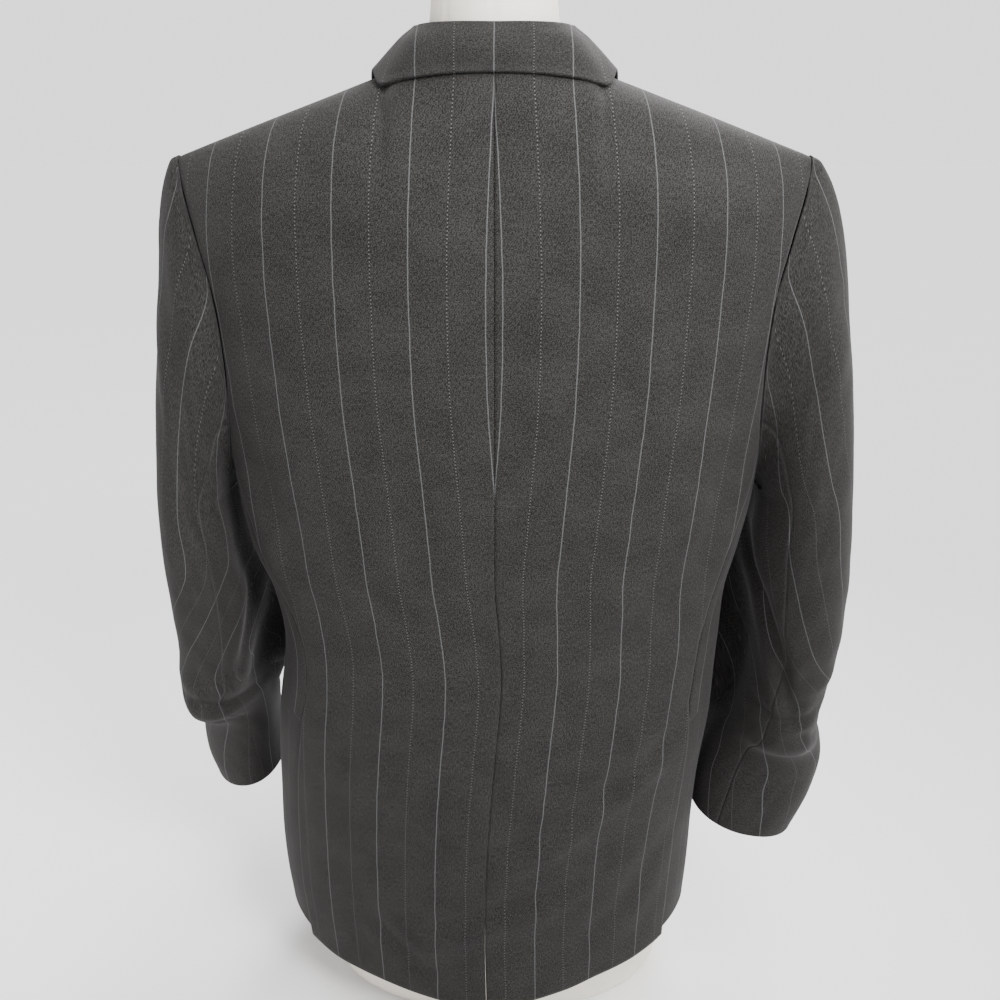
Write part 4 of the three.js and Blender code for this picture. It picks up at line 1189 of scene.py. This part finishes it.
def formSpot(turn, z):
    angle = turn * 2 * math.pi
    line = topLine(body["neckHalf"]) - form["shoulderClear"] - z
    width = min(formRings(z, 0), body["neckHalf"] + line / body["shoulderFall"])
    onShoulder = smooth(form["shoulderLow"], form["shoulderHigh"], z)
    behind = math.cos(angle) >= 0
    x = width * signedPower(math.sin(angle), form["round"])
    plain = formRings(z, 1 if behind else 2) * signedPower(math.cos(angle), form["round"])
    clear = mix(form["clear"], form["neckClear"], onShoulder)
    if behind:
        kept = min(plain, max(backY(x, z + clear) - clear / 2, body["ridge"]))
    else:
        kept = max(plain, min(frontY(x, z + clear) + clear, body["ridge"]))
    share = min(abs(x) / width, 1)
    close = mix(1, math.sqrt(1 - share ** form["power"]), onShoulder)
    centre = body["ridge"] * onShoulder
    return Vector((x, centre + (kept - centre) * close, z))


def ovalSpot(turn, z, half, behind, before):
    angle = turn * 2 * math.pi
    y = (behind + before) / 2 + (behind - before) / 2 * math.cos(angle)
    return Vector((half * math.sin(angle), y, z))


def makeCover(name):
    m = Maker(name)
    place = m.tree.nodes.new("ShaderNodeTexCoord").outputs["Object"]
    split = m.node("ShaderNodeSeparateXYZ", Vector=place)
    ribs = m.maths("SINE", m.maths("MULTIPLY", split.outputs[2], 5200))
    cross = m.maths("SINE", m.maths("MULTIPLY", split.outputs[0], 5200))
    weave = m.maths("ADD", m.maths("MULTIPLY", m.maths("MULTIPLY", ribs, cross), 0.5), 0.5)
    clouds = m.noise(place, 9.0, 4.0, 0.6)
    drawnOut = m.node("ShaderNodeMapping", Vector=place, Scale=(300, 300, 1500)).outputs[0]
    slubs = m.noise(drawnOut, 1.0, 3.0, 0.6)
    tone = m.maths("ADD", m.maths("MULTIPLY", clouds, 0.6), m.maths("MULTIPLY", slubs, 0.4))
    colour = m.blend(m.ramp(tone, 0.3, 0.7), (0.66, 0.61, 0.52, 1), (0.80, 0.76, 0.68, 1))
    m.put(colour, m.shader.inputs["Base Color"])
    m.bump(m.maths("ADD", weave, m.maths("MULTIPLY", slubs, 1.5)), 0.00015, 0.5)
    m.gloss(Roughness=0.85, Sheen_Weight=0.15)
    return m.material


cover = makeCover("cream cotton cover")


def wrapped(columns, rows, place):
    # a grid rolled into a tube, with its two long edges merged
    bm = bmesh.new()
    bmesh.ops.create_grid(bm, x_segments=columns, y_segments=rows, size=0.5)
    for v in bm.verts:
        v.co = place(v.co.x + 0.5, v.co.y + 0.5)
    bmesh.ops.remove_doubles(bm, verts=bm.verts, dist=0.01)
    return bm


formColumn = {}


def formPlace(u, t):
    turn = u % 1
    if turn not in formColumn:
        run = [formSpot(turn, z) for z in form["heights"]]
        formColumn[turn] = run + [ovalSpot(turn, *ring) for ring in form["neck"]]
    run = formColumn[turn]
    p = throughPoints(run, (len(run) - 1) * t)
    seam = min(abs((turn - s + 0.5) % 1 - 0.5) for s in form["seams"]) * 1000
    inward = Vector((p.x, p.y - 20 * smooth(600, 800, p.z), 0)).normalized()
    return p - inward * 0.7 * math.exp(-(seam / 2.4) ** 2)


torso = wrapped(form["columns"], form["rows"], formPlace)
bmesh.ops.holes_fill(torso, edges=torso.edges, sides=0)
bmesh.ops.recalc_face_normals(torso, faces=torso.faces)
plainPiece("form_torso_cover", torso, cover, ["form_torso"])

capProfile = (
    (0.0, 0.0), (0.97, 0.0), (1.0, 0.12), (1.0, 0.55), (0.985, 0.78), (0.93, 0.95), (0.84, 1.0),
    (0.5, 1.0), (0.0, 1.0),
)


def capPlace(u, t):
    cap = form["cap"]
    step = min(int(t * (len(capProfile) - 1) + 0.001), len(capProfile) - 2)
    share = t * (len(capProfile) - 1) - step
    out = mix(capProfile[step][0], capProfile[step + 1][0], share)
    up = mix(capProfile[step][1], capProfile[step + 1][1], share)
    middle = (cap["back"] + cap["front"]) / 2
    rim = ovalSpot(u % 1, 0, cap["half"], cap["back"], cap["front"])
    return Vector((rim.x * out, middle + (rim.y - middle) * out, mix(cap["low"], cap["high"], up)))


lid = wrapped(80, 3 * (len(capProfile) - 1), capPlace)
bmesh.ops.recalc_face_normals(lid, faces=lid.faces)
plainPiece("form_neck_lid", lid, cover, ["form_neck_cap"])
print("made the dress form")

# Plain pale floor and soft studio light
studio = {
    "band": {"From Min": 0.12, "From Max": 0.45, "To Min": 1.75, "To Max": 0.55},
    "overhead": {"power": 4.4, "angle": 60, "tilt": (-8, -22, 0)},
    "key": {"place": (-0.72, 1.15, 1.58), "aim": (-0.02, 0.1, 0.74), "radius": 0.35, "power": 250, "cone": 42},
    "fill": {"place": (0.9, 1.2, 1.45), "aim": (0.05, 0.1, 0.66), "radius": 0.50, "power": 40, "cone": 46},
    "front": {"place": (-0.6, -1.5, 1.6), "aim": (0, -0.1, 0.55), "radius": 0.60, "power": 260, "cone": 60},
}

floorMesh = bpy.data.meshes.new("floor")
bm = bmesh.new()
bmesh.ops.create_grid(bm, x_segments=1, y_segments=1, size=30)
bm.to_mesh(floorMesh)
bm.free()
floor = bpy.data.objects.new("floor", floorMesh)
bpy.context.collection.objects.link(floor)
floorMaker = Maker("pale floor")
floorMaker.gloss(Base_Color=(0.93, 0.93, 0.93, 1), Roughness=0.9)
floorMesh.materials.append(floorMaker.material)

# A pale room: bright round the horizon and dimmer above
world = bpy.data.worlds.new("studio")
bpy.context.scene.world = world
world.use_nodes = True
sky = world.node_tree
direction = sky.nodes.new("ShaderNodeTexCoord").outputs["Generated"]
height = sky.nodes.new("ShaderNodeSeparateXYZ")
sky.links.new(direction, height.inputs[0])
band = sky.nodes.new("ShaderNodeMapRange")
band.interpolation_type = "SMOOTHSTEP"
sky.links.new(height.outputs[2], band.inputs["Value"])
for key, value in studio["band"].items():
    band.inputs[key].default_value = value
background = sky.nodes["Background"]
background.inputs["Color"].default_value = (1, 1, 1, 1)
sky.links.new(band.outputs["Result"], background.inputs["Strength"])

overhead = bpy.data.lights.new("overhead", "SUN")
overhead.energy = studio["overhead"]["power"]
overhead.angle = math.radians(studio["overhead"]["angle"])
overheadObject = bpy.data.objects.new("overhead", overhead)
bpy.context.collection.objects.link(overheadObject)
overheadObject.rotation_euler = [math.radians(turn) for turn in studio["overhead"]["tilt"]]


def softLight(name, place, aim, radius, power, cone):
    data = bpy.data.lights.new(name, "SPOT")
    data.shadow_soft_size = radius
    data.energy = power
    data.spot_size = math.radians(cone)
    data.spot_blend = 1
    lamp = bpy.data.objects.new(name, data)
    bpy.context.collection.objects.link(lamp)
    lamp.location = place
    lamp.rotation_euler = (Vector(aim) - Vector(place)).to_track_quat("-Z", "Y").to_euler()


for name in ("key", "fill", "front"):
    softLight(name, **studio[name])
